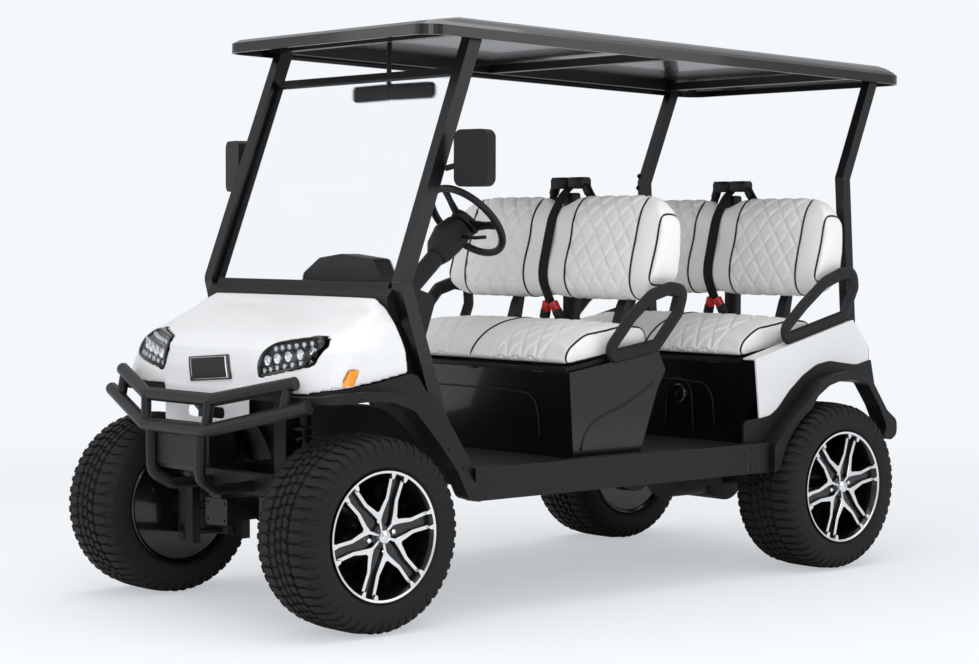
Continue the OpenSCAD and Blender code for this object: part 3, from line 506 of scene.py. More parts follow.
def make_rim(end, side, centre, size):
    """A wheel: dark barrel, hub and drum, bright lip, forks and cap, and the nuts."""
    sign = 1 if side == "left" else -1
    half, rim = size.x / 2, size.z / 2 - TYRE_WALL
    face_x = half - FACE_SUNK
    dark = [revolve(centre, sign, rim_barrel(half, rim))]
    bright = [revolve(centre, sign, rim_lip(half, rim))]
    for k in range(SPOKES):
        spoke = math.radians(360 / SPOKES * k + SPOKE_TURN)
        more_dark, more_bright = twin_spoke(centre, sign, spoke, half, rim)
        dark += more_dark
        bright += more_bright
    hub = [(face_x - 0.040, 0.001), (face_x - 0.040, HUB_R), (face_x - 0.006, HUB_R),
           (face_x - 0.004, HUB_R - 0.004), (face_x - 0.003, 0.001)]
    drum = [(-half + 0.018, 0.001), (-half + 0.018, rim - 0.018), (-half + 0.024, rim - 0.018),
            (-half + 0.026, 0.105), (-half + 0.100, 0.100), (-half + 0.106, 0.092), (-half + 0.106, 0.001)]
    dark += [revolve(centre, sign, hub), revolve(centre, sign, drum)]
    cap = [(face_x - 0.003, 0.0225), (face_x + 0.008, 0.0215), (face_x + 0.012, 0.0195),
           (face_x + 0.0105, 0.0175), (face_x + 0.0140, 0.010), (face_x + 0.0150, 0.0005),
           (face_x - 0.003, 0.0005)]
    bright.append(revolve(centre, sign, cap, steps=48))
    nuts = []
    for k in range(NUTS):
        at = round_the_axle(centre, NUT_CIRCLE, math.radians(360 / NUTS * k + SPOKE_TURN))
        nuts.append(revolve(at, sign, [(face_x - 0.014, 0.008), (face_x - 0.003, 0.008), (face_x, 0.0045),
                                       (face_x, 0.0005), (face_x - 0.014, 0.0005)], steps=6))
    body = f"wheel_{end}_{side}"
    black = piece(f"wheel_dark_{end}_{side}", join(dark), body, "black_gloss", edge=METAL_EDGE)
    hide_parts(f"rim_{end}_{side}")
    piece(f"wheel_face_{end}_{side}", join(bright), body, "machined_alloy", edge=METAL_EDGE)
    piece(f"wheel_nuts_{end}_{side}", join(nuts), body, "machined_alloy", edge=METAL_EDGE)


# Seats

VOXEL = 0.008
SHRINK = 0.007
PRESSURE = 2.2
SIM_FRAMES = 16
PUFF_CAP = 0.016
SETTLE = 14
DIAMOND_W, DIAMOND_H = 0.073, 0.105
STITCH_DEPTH, STITCH_WIDTH = 0.0066, 0.0060
PIPING_R = 0.0034
PATH_STEP = 0.012
SEAT_TUCKS = (0.114, 0.359)
END_PANEL = 0.014
BACK_SEAMS = (0.105, 0.42)
BACK_PANEL = 0.027


def world_mesh(node):
    """A node's mesh as a bmesh in the row frame."""
    bm = bmesh.new()
    bm.from_mesh(node.data)
    bm.transform(node.matrix_world)
    return bm


def merged_mesh(name):
    """A node's mesh in the row frame, with the vertices of neighbouring faces made one."""
    bm = world_mesh(frame["nodes"][name])
    bmesh.ops.remove_doubles(bm, verts=bm.verts, dist=1e-5)
    return bm


def object_from(bm, name):
    mesh = bpy.data.meshes.new(name)
    bm.to_mesh(mesh)
    bm.free()
    return linked(name, mesh)


def first_solid(bm):
    """Keeps the part of a mesh that is furthest to the front."""
    bm.verts.ensure_lookup_table()
    left, groups = set(bm.verts), []
    while left:
        todo, group = [left.pop()], []
        while todo:
            v = todo.pop()
            group.append(v)
            for e in v.link_edges:
                o = e.other_vert(v)
                if o in left:
                    left.discard(o)
                    todo.append(o)
        groups.append(group)
    groups.sort(key=lambda g: min(v.co.y for v in g))
    for group in groups[1:]:
        bmesh.ops.delete(bm, geom=group, context="VERTS")


def coords_of(mesh):
    out = np.empty(len(mesh.vertices) * 3)
    mesh.vertices.foreach_get("co", out)
    return out.reshape(-1, 3)


def normals_of(mesh):
    out = np.empty(len(mesh.vertices) * 3)
    mesh.vertex_normals.foreach_get("vector", out)
    return out.reshape(-1, 3)


def set_coords(mesh, co):
    mesh.vertices.foreach_set("co", co.ravel())
    mesh.update()


def start_shape(name, node_name):
    """A copy of a soft solid, evenly meshed, rounded off and a little smaller."""
    bm = merged_mesh(node_name)
    first_solid(bm)
    obj = object_from(bm, name)
    modifier(obj, "REMESH", mode="VOXEL", voxel_size=VOXEL)
    modifier(obj, "SMOOTH", factor=0.6, iterations=10)
    apply_all(obj)
    set_coords(obj.data, coords_of(obj.data) - normals_of(obj.data) * SHRINK)
    return obj


def puff(obj, pinned):
    """Blows a cushion's cover up from inside, with the vertices in pinned held."""
    before = coords_of(obj.data)
    group = obj.vertex_groups.new(name="held")
    group.add([int(i) for i in np.nonzero(pinned(before))[0]], 1.0, "REPLACE")
    cloth = obj.modifiers.new("cover", "CLOTH")
    s = cloth.settings
    s.quality = 4
    s.mass = 0.4
    s.tension_stiffness = s.compression_stiffness = 40
    s.shear_stiffness = 20
    s.bending_stiffness = 20
    s.use_pressure = True
    s.uniform_pressure_force = PRESSURE
    s.effector_weights.gravity = 0
    s.vertex_group_mass = group.name
    scene = bpy.context.scene
    for frame_no in range(1, SIM_FRAMES + 1):
        scene.frame_set(frame_no)
    apply_all(obj)
    scene.frame_set(1)
    move = coords_of(obj.data) - before
    size = np.linalg.norm(move, axis=1, keepdims=True)
    move *= np.minimum(1.0, PUFF_CAP / np.maximum(size, 1e-9))
    set_coords(obj.data, before + move)
    modifier(obj, "SMOOTH", factor=0.5, iterations=SETTLE)
    apply_all(obj)


def groove(distance, depth, width):
    return -depth * np.exp(-(distance / width) ** 2)


def band(x, x0, x1, edge=0.006):
    """1 between x0 and x1, falling to 0 over edge."""
    return np.clip((x - x0) / edge, 0, 1) * np.clip((x1 - x) / edge, 0, 1)


def quilt(x, s, x0, x1):
    """The depth of diamond stitching across x and along s, and of the seams at its sides."""
    u, v = (x - x0) / DIAMOND_W, s / DIAMOND_H
    per_m = math.hypot(1 / DIAMOND_W, 1 / DIAMOND_H)
    d = np.minimum(abs(u + v - np.round(u + v)), abs(u - v - np.round(u - v))) / per_m
    return (groove(d, STITCH_DEPTH, STITCH_WIDTH) + 0.0016) * band(x, x0, x1)


def subdivide(obj):
    modifier(obj, "SUBSURF", levels=1, render_levels=1)
    apply_all(obj)


def stitch(obj, depth_at):
    """Moves the cover in or out along its normals by a depth for each vertex."""
    co, no = coords_of(obj.data), normals_of(obj.data)
    set_coords(obj.data, co + no * depth_at(co, no)[:, None])


def section(obj, x):
    """The closed loop of points where the plane at x cuts a mesh, in order."""
    bm = bmesh.new()
    bm.from_mesh(obj.data)
    cut = bmesh.ops.bisect_plane(bm, geom=bm.verts[:] + bm.edges[:] + bm.faces[:], dist=1e-6,
                                 plane_co=(x, 0, 0), plane_no=(1, 0, 0))["geom_cut"]
    edges = {e for e in cut if isinstance(e, bmesh.types.BMEdge)}
    loops = []
    while edges:
        e = edges.pop()
        path = [e.verts[0], e.verts[1]]
        while True:
            nxt = next((q for q in path[-1].link_edges if q in edges), None)
            if nxt is None:
                break
            edges.discard(nxt)
            path.append(nxt.other_vert(path[-1]))
        loops.append([v.co.copy() for v in path])
    bm.free()
    loop = max(loops, key=len)
    if (loop[0] - loop[-1]).length < 1e-6:
        loop.pop()
    return loop


def even(points, step, closed=True):
    """Points at an even spacing along a path, smoothed a little."""
    pts = points + [points[0]] if closed else points
    lengths = [0.0]
    for a, b in zip(pts, pts[1:]):
        lengths.append(lengths[-1] + (b - a).length)
    n = max(8, int(lengths[-1] / step))
    out, j = [], 0
    for k in range(n if closed else n + 1):
        t = lengths[-1] * k / n
        while j < len(lengths) - 2 and lengths[j + 1] < t:
            j += 1
        f = (t - lengths[j]) / max(1e-9, lengths[j + 1] - lengths[j])
        out.append(pts[j].lerp(pts[j + 1], f))
    m = len(out)
    for _ in range(3):
        out = [(out[(i - 1) % m] + out[i] * 2 + out[(i + 1) % m]) / 4 if closed or 0 < i < m - 1 else out[i]
               for i in range(m)]
    return out


def pushed_out(loop, by):
    """A closed loop in a plane across x, moved out from its inside."""
    n = len(loop)
    area = sum(loop[i].y * loop[(i + 1) % n].z - loop[(i + 1) % n].y * loop[i].z for i in range(n))
    turn = 1 if area > 0 else -1
    out = []
    for i, p in enumerate(loop):
        d = (loop[(i + 1) % n] - loop[i - 1]).normalized()
        out.append(p + Vector((0, d.z, -d.y)) * (turn * by))
    return out


def piping_for(name, obj, places, body):
    """Round piping along the seams of a cushion at the given distances from its middle."""
    loops = [pushed_out(even(section(obj, x), 0.010), PIPING_R * 0.55) for x in places]
    return piece(name, join([tube(loop, PIPING_R, sides=8, closed=True) for loop in loops]), body, "piping")


def moved_copy(obj, name, shift, body):
    twin = obj.copy()
    twin.data = obj.data.copy()
    twin.name = name
    twin.data.transform(Matrix.Translation(shift))
    bpy.context.scene.collection.objects.link(twin)
    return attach(twin, body)


def make_seat(pitch):
    """The quilted seat cushions, with piping down the middle and round the end panels."""
    lo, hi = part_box("front_cushion")
    obj = start_shape("seat_front", "front_cushion")
    puff(obj, lambda co: co[:, 2] < lo.z + 0.016 + (co[:, 1] - lo.y) * 0.149)
    subdivide(obj)
    end = hi.x - END_PANEL

    def depth(co, no):
        x, y, z = abs(co[:, 0]), co[:, 1] - lo.y, co[:, 2]
        s = np.where(no[:, 2] > 0.45, y, y - 0.9 * (hi.z - 0.03 - z))
        out = quilt(x, s, *SEAT_TUCKS) * (no[:, 1] < 0.6)
        for place in SEAT_TUCKS:
            out += groove(abs(x - place), 0.0035, 0.005)
        for place in (0, end):
            out += groove(abs(x - place), 0.0024, 0.006)
        return out * (no[:, 2] > -0.35)
    stitch(obj, depth)
    trim = piping_for("seat_piping_front", obj, (-end, 0.0, end), "front_seat")
    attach(obj, "front_seat")
    shade_smooth(obj.data)
    twin = moved_copy(obj, "seat_rear", pitch, "rear_seat")
    moved_copy(trim, "seat_piping_rear", pitch, "rear_seat")
    for cushion, end in ((obj, "front"), (twin, "rear")):
        paint(cushion, "white_leather")
        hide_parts(f"{end}_cushion")


def make_backrests(pitch):
    """The bench backs with two quilted panels each, smooth bolsters and boxed ends. Returns the front one."""
    lo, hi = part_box("backrests")
    obj = start_shape("back_front", "backrests")
    puff(obj, lambda co: co[:, 1] > lo.y + 0.135)
    subdivide(obj)
    end = hi.x - BACK_PANEL

    def depth(co, no):
        x, y, z = abs(co[:, 0]), co[:, 1] - lo.y, co[:, 2]
        out = quilt(x, z + 0.6 * y, *BACK_SEAMS) * (no[:, 1] < 0.45)
        for place in BACK_SEAMS:
            out += groove(abs(x - place), 0.0024, 0.006)
        return out + groove(abs(x - end), 0.0020, 0.006)
    stitch(obj, depth)
    places = [s * x for s in (-1, 1) for x in BACK_SEAMS + (end,)]
    trim = piping_for("back_piping_front", obj, places, "chassis")
    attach(obj, "chassis")
    shade_smooth(obj.data)
    twin = moved_copy(obj, "back_rear", pitch, "chassis")
    moved_copy(trim, "back_piping_rear", pitch, "chassis")
    for back in (obj, twin):
        paint(back, "white_leather")
        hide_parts("backrests")
    return obj


# Belts and hip loops

BELT_TOP = 1.262
BELT_STEP = 0.012
BELT_WIDE, BELT_THICK = 0.048, 0.0018
REEL_BELT = [(0.004, 0, -0.01), (0.034, 0.012, -0.062), (0.072, 0.03, -0.12), (0.098, 0.036, -0.2),
             (0.10, 0.036, -0.26)]
BAR_SECTION = [(-1, -0.6), (-0.75, -1), (0.75, -1), (1, -0.6), (1, 0.6), (0.75, 1), (-0.75, 1), (-1, 0.6)]
LOOP_GROW = Vector((0.0015, 0.0075, 0.0075))


def ribbon(path, across, width):
    """A flat strap along a path, with thinner rolled edges."""
    half, thick = width / 2, BELT_THICK
    outline = ((-half, 0), (-half + 0.003, thick), (-half * 0.4, thick * 0.8), (half * 0.4, thick * 0.8),
               (half - 0.003, thick), (half, 0), (half - 0.003, -thick / 2), (-half + 0.003, -thick / 2))
    rings = []
    for i, p in enumerate(path):
        a, b = path[max(0, i - 1)], path[min(len(path) - 1, i + 1)]
        up = across.cross((b - a).normalized()).normalized()
        rings.append([p + across * x + up * z for x, z in outline])
    return loft(rings)


def first_box(name):
    """The corners of the front one of a node's solids."""
    bm = merged_mesh(name)
    first_solid(bm)
    co = [v.co for v in bm.verts]
    lo, hi = (Vector([pick(p[i] for p in co) for i in range(3)]) for pick in (min, max))
    bm.free()
    return lo, hi


def rounded_bar(a, b, across, wide, deep, ends=0.006):
    """A bar from a to b with rounded corners: half sizes wide along across and deep the other way."""
    d = (b - a).normalized()
    up = d.cross(across).normalized()
    rings = []
    for t, k in ((0, 0.82), (ends, 1), ((b - a).length - ends, 1), ((b - a).length, 0.82)):
        rings.append([a + d * t + across * (wide * k * x) + up * (deep * k * z) for x, z in BAR_SECTION])
    return loft(rings)


def taut(points):
    """The points, from the top down, that a strap pulled tight in front of them still touches."""
    out = []
    for p in points:
        while len(out) > 1:
            a, b = out[-2], out[-1]
            if b.y <= a.y + (p.y - a.y) * (b.z - a.z) / (p.z - a.z):
                break
            out.pop()
        out.append(p)
    return out


def centre_belt(back, start, low):
    """The belt from a reel over the top of a bench's back and down its middle to low."""
    bm = bmesh.new()
    bm.from_mesh(back.data)
    tree = BVHTree.FromBMesh(bm)
    bm.free()
    front = []
    for k in range(int((BELT_TOP - low.z - 0.06) / BELT_STEP) + 1):
        z = BELT_TOP - BELT_STEP * k
        y = min(front_point(tree, x, z).y for x in (-0.022, -0.011, 0, 0.011, 0.022))
        front.append(Vector((0, y - 0.0035, z)))
    path = start[:1] + taut(start[1:] + front + [low])
    return ribbon(even(path, PATH_STEP, closed=False), RIGHT, BELT_WIDE)


def reel_side(s, reel_y, top):
    """One side's reel and guide on the belt tower, and the belt that hangs from them."""
    reel = Vector((s * 0.044, reel_y, top + 0.004))
    guide = reel + Vector((s * 0.030, 0, -0.006))
    tower = [rounded_bar(reel - RIGHT * 0.036, reel + RIGHT * 0.036, BACKWARD, 0.026, 0.020),
             rounded_bar(guide, guide + Vector((s * 0.018, 0.004, -0.036)), BACKWARD, 0.018, 0.010)]
    path = [guide + Vector((s * x, y, z)) for x, y, z in REEL_BELT]
    return tower, ribbon(path, Vector((0.86, 0, s * 0.51)), 0.040)


def buckle(s, low):
    """A buckle's red button and its black case."""
    d = Vector((s * 0.42, 0.18, -0.88)).normalized()
    at = low + Vector((s * 0.014, -0.004, 0.004))
    side = (RIGHT - d * RIGHT.dot(d)).normalized()
    return (rounded_bar(at, at + d * 0.034, side, 0.0165, 0.0115, ends=0.003),
            rounded_bar(at + d * 0.030, at + d * 0.066, side, 0.0175, 0.0125, ends=0.003))


def make_belts(back, pitch):
    """Each bench's belt tower with two reels, the belt down the middle of its back and two buckles."""
    buckle_lo, buckle_hi = first_box("belt_buckles")
    tower_lo, tower_hi = first_box("belt_tower")
    low = Vector((0, buckle_lo.y + 0.020, buckle_hi.z - 0.004))
    reel_y, top = (tower_lo.y + tower_hi.y) / 2, tower_hi.z
    start = [Vector((0, reel_y - 0.004, top - 0.012)), Vector((0, reel_y - 0.03, top - 0.030))]
    straps = [centre_belt(back, start, low)]
    foot, neck = Vector((0, reel_y + 0.006, tower_lo.z)), Vector((0, reel_y + 0.006, top - 0.03))
    tower = [rounded_bar(foot, neck, RIGHT, 0.030, 0.020)]
    red, black = [], []
    for s in (-1, 1):
        reel, strap = reel_side(s, reel_y, top)
        tower += reel
        straps.append(strap)
        button, case = buckle(s, low)
        red.append(button)
        black.append(case)
    made = {"belt_straps": (straps, "belt_webbing", "seat_belts"),
            "belt_reels": (tower, "black_plastic", "belt_tower"),
            "buckle_cases": (black, "black_plastic", "belt_buckles"),
            "buckle_buttons": (red, "red_plastic", "belt_buckles")}
    for stem, (parts, finish, solid) in made.items():
        obj = piece(f"{stem}_front", join(parts), "chassis", finish, edge=40)
        twin = moved_copy(obj, f"{stem}_rear", pitch, "chassis")
        for one in (obj, twin):
            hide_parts(solid)


def make_hip_loops():
    """The moulded restraint loops at the benches' ends, fuller in their own plane than their cores."""
    bm = merged_mesh("hip_restraints")
    bm.normal_update()
    moves = [Vector(n * g for n, g in zip(v.normal, LOOP_GROW)) for v in bm.verts]
    for v, move in zip(bm.verts, moves):
        v.co += move
    obj = object_from(bm, "hip_loops")
    modifier(obj, "BEVEL", width=0.004, segments=3, limit_method="ANGLE", angle_limit=math.radians(25))
    shade_smooth(obj.data)
    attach(obj, "chassis")
    paint(obj, "black_plastic")
    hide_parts("hip_restraints")


def make_benches():
    front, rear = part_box("front_cushion"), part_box("rear_cushion")
    pitch = rear[0] - front[0]
    make_seat(pitch)
    back = make_backrests(pitch)
    make_belts(back, pitch)
    make_hip_loops()


# Lamps and front

FRONT_Y = CAD_BOX[0][1]


def tree_of(name):
    bm = world_mesh(frame["nodes"][name])
    tree = BVHTree.FromBMesh(bm)
    bm.free()
    return tree


def front_point(tree, x, z, sunk=0.0):
    """The first point of a node that is seen from the front at x and z, moved back by sunk."""
    hit = tree.ray_cast(Vector((x, -3, z)), Vector((0, 1, 0)))[0]
    if hit is None:
        hit = tree.find_nearest(Vector((x, FRONT_Y, z)))[0]
    return hit + Vector((0, sunk, 0))


LAMP_OUTLINE = [(0.252, 0.744), (0.255, 0.805), (0.263, 0.830), (0.285, 0.847), (0.350, 0.858),
                (0.417, 0.868), (0.452, 0.862), (0.466, 0.848), (0.466, 0.826), (0.446, 0.784),
                (0.400, 0.774), (0.320, 0.757)]
BOWL = [(1.02, 0.005), (1.02, -0.003), (0.92, -0.001), (0.91, 0.008), (0.90, 0.026), (0.86, 0.030),
        (0.02, 0.032), (0.02, 0.036), (0.9, 0.035), (0.995, 0.010)]
LED_ROWS = [((0.296, 0.829), (0.446, 0.851), 7, 0.0080), ((0.285, 0.794), (0.449, 0.823), 5, 0.0155),
            ((0.274, 0.764), (0.452, 0.796), 7, 0.0075)]


def lamp_surface(tree):
    """A smooth curved face through a lamp's points: the six factors of y over x and z."""
    xs, zs = zip(*LAMP_OUTLINE)
    points = []
    for i in range(13):
        for j in range(9):
            x, z = min(xs) + (max(xs) - min(xs)) * i / 12, min(zs) + (max(zs) - min(zs)) * j / 8
            hit = tree.ray_cast(Vector((x, FRONT_Y - 1, z)), Vector((0, 1, 0)))[0]
            if hit:
                points.append(hit)
    terms = [[1, p.x, p.z, p.x * p.x, p.x * p.z, p.z * p.z] for p in points]
    return np.linalg.lstsq(np.array(terms), np.array([p.y for p in points]), rcond=None)[0]


def lamp_point(face, sign, x, z, depth=0.0):
    return Vector((sign * x, float(face @ np.array([1, x, z, x * x, x * z, z * z])) + depth, z))


def lamp_ring(face, sign, scale, depth):
    """The lamp window's outline on the cowl, scaled about its middle and sunk by depth."""
    points = [Vector((x, 0, z)) for x, z in LAMP_OUTLINE]
    middle = sum(points, Vector()) / len(points)
    ring = []
    for p in even(points, 0.008):
        q = middle + (p - middle) * scale
        ring.append(lamp_point(face, sign, q.x, q.z, depth))
    return ring


def cup(at, r, depth):
    """A small reflector that opens towards the front: a rim, a bowl and a lens in it."""
    def circle(q, y):
        return ellipse(at + Vector((0, y, 0)), RIGHT, UP, q, q, 20)
    shell = loft([circle(r, 0.004), circle(r, 0), circle(r * 0.9, 0), circle(r * 0.62, depth * 0.7),
                  circle(r * 0.3, depth)])
    lens = loft([circle(r * 0.5, depth * 0.72), circle(r * 0.46, depth * 0.45),
                 circle(r * 0.25, depth * 0.25), circle(r * 0.02, depth * 0.2)])
    return shell, lens


def make_head_lamps():
    face = lamp_surface(tree_of("head_lamps"))
    for sign, side in ((1, "left"), (-1, "right")):
        cover = [lamp_ring(face, sign, 0.985, 0.004), lamp_ring(face, sign, 0.985, 0.001)]
        cover += [lamp_ring(face, sign, k / 8, 0.001) for k in range(7, 0, -1)]
        cover += [lamp_ring(face, sign, 0.02, 0.001), lamp_ring(face, sign, 0.02, 0.004)]
        cover += [lamp_ring(face, sign, k / 8, 0.004) for k in range(1, 8)]
        piece(f"lamp_cover_{side}", loft(cover + cover[:1], caps=False), "chassis", "lamp_glass")
        bowl = [lamp_ring(face, sign, *q) for q in BOWL]
        bowl = loft(bowl + bowl[:1], caps=False)
        case = piece(f"lamp_case_{side}", bowl, "chassis", "black_gloss", edge=FITTING_EDGE)
        shells, lenses = [], []
        for (x0, z0), (x1, z1), count, r in LED_ROWS:
            for k in range(count):
                t = k / (count - 1)
                at = lamp_point(face, sign, x0 + (x1 - x0) * t, z0 + (z1 - z0) * t, 0.006)
                shell, lens = cup(at, r, 0.015)
                shells.append(shell)
                lenses.append(lens)
        piece(f"lamp_reflectors_{side}", join(shells), "chassis", "machined_alloy", edge=FITTING_EDGE)
        piece(f"lamp_lenses_{side}", join(lenses), "chassis", "lamp_lens")
        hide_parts("head_lamps")


def slab_on(tree, corners, thick, scale=1.0, rows=12):
    """A thin plate on a node's front face, from its four corners (x, z) in turn, an upper one first."""
    a, b, c, d = [Vector((x, 0, z)) for x, z in corners]
    middle = (a + b + c + d) / 4
    front, back = [], []
    for i in range(rows + 1):
        t = i / rows
        p, q = a.lerp(b, t), d.lerp(c, t)
        line = []
        for j in range(5):
            r = p.lerp(q, j / 4)
            r = middle + (r - middle) * scale
            line.append(front_point(tree, r.x, r.z))
        front.append([v - Vector((0, thick, 0)) for v in line])
        back.append([v + Vector((0, 0.002, 0)) for v in line])
    rings = [f + list(reversed(b)) for f, b in zip(front, back)]
    return loft(rings)


BADGE = [(-0.112, 0.788), (0.083, 0.803), (0.121, 0.735), (-0.080, 0.719)]


def make_badge():
    """The bare plate on the nose: black, with a thin pale line inside its edge."""
    tree = tree_of("front_cowl")
    for name, thick, scale, bevel, finish in (("plate_back", 0.006, 1.07, 0.003, "black_gloss"),
                                              ("plate_line", 0.0068, 0.94, 0.0004, "machined_alloy"),
                                              ("plate_face", 0.0075, 0.90, 0.0004, "piping")):
        obj = new_object(name, *slab_on(tree, BADGE, thick, scale=scale), "chassis")
        modifier(obj, "BEVEL", width=bevel, segments=2, limit_method="ANGLE")
        paint(obj, finish)


def make_glass_trim():
    """The black edging of the windshield's two panes: a strip along the foot of the lower pane and one along
    the top of the upper pane.
    """
    low_lo, low_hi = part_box("windshield_lower")
    up_lo, up_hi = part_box("windshield_upper")
    half = low_hi.x - 0.004
    u = Vector((0, up_hi.y - low_lo.y, up_hi.z - low_lo.z)).normalized()
    parts = []
    for z, w in ((low_lo.z + 0.006, 0.012), (up_hi.z - 0.005, 0.014)):
        t = (z - low_lo.z) / (up_hi.z - low_lo.z)
        c = Vector((0, low_lo.y + (up_hi.y - low_lo.y) * t, z))
        n = Vector((0, -u.z, u.y))
        ring = [c + u * (w * a) + n * b for a, b in ((-1, 0.002), (-0.8, 0.006), (0.8, 0.006), (1, 0.002),
                                                     (1, -0.008), (-1, -0.008))]
        parts.append(loft([[p + Vector((x, 0, 0)) for p in ring] for x in (-half, half)]))
    piece("glass_edging", join(parts), "chassis", "black_plastic", edge=40)


WHEEL_R, GRIP_R = 0.138, 0.0118
PAD = [(0.030, -0.030), (0.046, -0.026), (0.050, -0.012), (0.047, -0.002), (0.038, 0.004), (0.012, 0.006)]
SHROUD = [(-0.033, 0.034, 0.034, 0), (-0.040, 0.047, 0.050, -0.004), (-0.095, 0.050, 0.058, -0.010),
          (-0.150, 0.042, 0.048, -0.006), (-0.172, 0.033, 0.034, 0)]
SPOKE_ROWS = [(0.028, 1.25, -0.016), (0.060, 1.0, -0.013), (0.095, 0.72, -0.008), (0.133, 0.9, -0.002)]
SPOKE_SECTION = [(-1, -0.002), (-0.8, 0.005), (0.8, 0.005), (1, -0.002), (0.7, -0.006), (-0.7, -0.006)]


def make_steering_wheel():
    """A padded three-spoke wheel with thumb swells, a centre pad and the column's shroud."""
    joint = next(j for j in frame["record"]["behaviour"]["joints"] if j["name"] == "steering_wheel_turn")
    centre, axis = Vector(joint["pos_m"]), Vector(joint["axis"]).normalized()
    side = RIGHT
    up = axis.cross(side).normalized()

    def at(r, a, h=0.0):
        return centre + side * (r * math.cos(a)) + up * (r * math.sin(a)) + axis * h
    rings = []
    for a in turns(72):
        swell = 1 + 0.12 * max(0, math.cos(2 * (a - math.radians(20))))
        out = at(1, a) - centre
        rings.append(ellipse(centre + out * WHEEL_R, out, axis, GRIP_R * swell, GRIP_R, 14))
    grip = piece("wheel_grip", hoop(rings), "steering_wheel", "wheel_grip")
    parts = []
    for a0, w in ((math.radians(8), 0.020), (math.radians(172), 0.020), (math.radians(270), 0.017)):
        rows = []
        across = at(1, a0 + math.pi / 2) - centre
        for r, k, h in SPOKE_ROWS:
            rows.append([at(r, a0, h) + across * (w * k * x) + axis * y for x, y in SPOKE_SECTION])
        parts.append(loft(rows))
    pad = []
    for q, h in PAD:
        pad.append([at(q * (1 + 0.10 * math.cos(3 * (a + math.radians(90)))), a, h) for a in turns(36)])
    parts.append(loft(pad))
    piece("wheel_hub", join(parts), "steering_wheel", "black_plastic", edge=38)
    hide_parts("steering_wheel")
    shroud = []
    for h, rx, ry, dy in SHROUD:
        shroud.append([centre + side * (rx * math.cos(a)) + up * (ry * math.sin(a) + dy) + axis * h
                       for a in turns(32)])
    piece("column_shroud", loft(shroud), "chassis", "black_plastic", edge=38)
    lever = tube([centre + side * 0.04 - axis * 0.075, centre + side * 0.095 - axis * 0.07 + up * 0.01,
                  centre + side * 0.135 - axis * 0.062 + up * 0.014], 0.006, sides=10)
    piece("column_lever", lever, "chassis", "black_plastic")


SHOCK_X = (0.292, 0.252)
COIL_R, COIL_WIRE = 0.027, 0.0050
COIL_TURNS, TURN_STEPS = 8, 20


def make_shocks():
    """A wound spring round each front damper."""
    lo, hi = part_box("front_shocks")
    springs, dampers = [], []
    for sign in (1, -1):
        low = Vector((sign * SHOCK_X[0], (lo.y + hi.y) / 2, lo.z))
        top = Vector((sign * SHOCK_X[1], (lo.y + hi.y) / 2, hi.z))
        d = (top - low).normalized()
        e = d.cross(BACKWARD).normalized()
        f = d.cross(e)
        length = (top - low).length
        steps = COIL_TURNS * TURN_STEPS
        path = []
        for k in range(steps + 1):
            a = 2 * math.pi * k / TURN_STEPS
            path.append(low + d * (0.076 + (length - 0.150) * k / steps) + e * (COIL_R * math.cos(a))
                        + f * (COIL_R * math.sin(a)))
        springs.append(tube(path, COIL_WIRE, sides=8))
        outline = [(0.002, 0.006), (0.004, 0.016), (0.062, 0.016), (0.064, 0.033), (0.072, 0.034),
                   (0.074, 0.020), (0.17, 0.019), (0.172, 0.008), (length - 0.075, 0.008),
                   (length - 0.074, 0.030), (length - 0.066, 0.032), (length - 0.062, 0.014),
                   (length - 0.004, 0.012), (length - 0.002, 0.005)]
        dampers.append(loft([ellipse(low + d * h, e, f, r, r, 24) for h, r in outline]))
    piece("shock_springs", join(springs), "chassis", "black_paint")
    damper = piece("shock_dampers", join(dampers), "chassis", "cast_steel", edge=FITTING_EDGE)
    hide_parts("front_shocks")


# Fittings

ROW_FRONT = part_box("front_cushion")[0].y
SEAT_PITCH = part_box("rear_cushion")[0].y - ROW_FRONT
FRONT_RECESS = [(-0.345, 0.500), (-0.342, 0.590), (-0.330, 0.632), (-0.300, 0.652), (-0.150, 0.660),
                (0.150, 0.660), (0.300, 0.652), (0.330, 0.632), (0.342, 0.590), (0.345, 0.500)]
SIDE_CURVE = [(0.050, 0.475), (0.062, 0.520), (0.095, 0.560), (0.150, 0.585), (0.250, 0.615), (0.380, 0.680)]
PORT = (0.181, 0.606)
PORT_ARCH_R = 0.062
RELIEF_R = 0.005
SILL_SEAMS = (0.115, 0.060)
POST_BOLT = (1.094, 1.353)
FLARE_STUDS = [(-0.74, 0.600), (-0.715, 0.520), (0.66, 0.420), (0.64, 0.390)]
HEX = (1.0, 0.94, 0.94)


def cast(tree, start, direction):
    """Where a ray first meets a node, or else the node's nearest point."""
    hit = tree.ray_cast(Vector(start), Vector(direction))[0]
    return hit or tree.find_nearest(Vector(start))[0]


def bolt(at, out, r=0.007, tall=0.005):
    """A hexagon bolt head on its washer, standing out from a face."""
    side = out.orthogonal().normalized()
    up = out.cross(side)
    rows = []
    for h, q, six_sided in ((-0.001, r * 1.45, False), (0.0012, r * 1.45, False), (0.0013, r, True),
                            (tall, r, True), (tall + 0.001, r * 0.8, True)):
        grow = [q / HEX[k % 3] if six_sided else q for k in range(18)]
        rows.append([at + out * h + (side * math.cos(a) + up * math.sin(a)) * g
                     for a, g in zip(turns(18), grow)])
    return loft(rows)


def relief_line(points):
    return tube(even(points, PATH_STEP, closed=False), RELIEF_R, sides=6, flat=0.6)


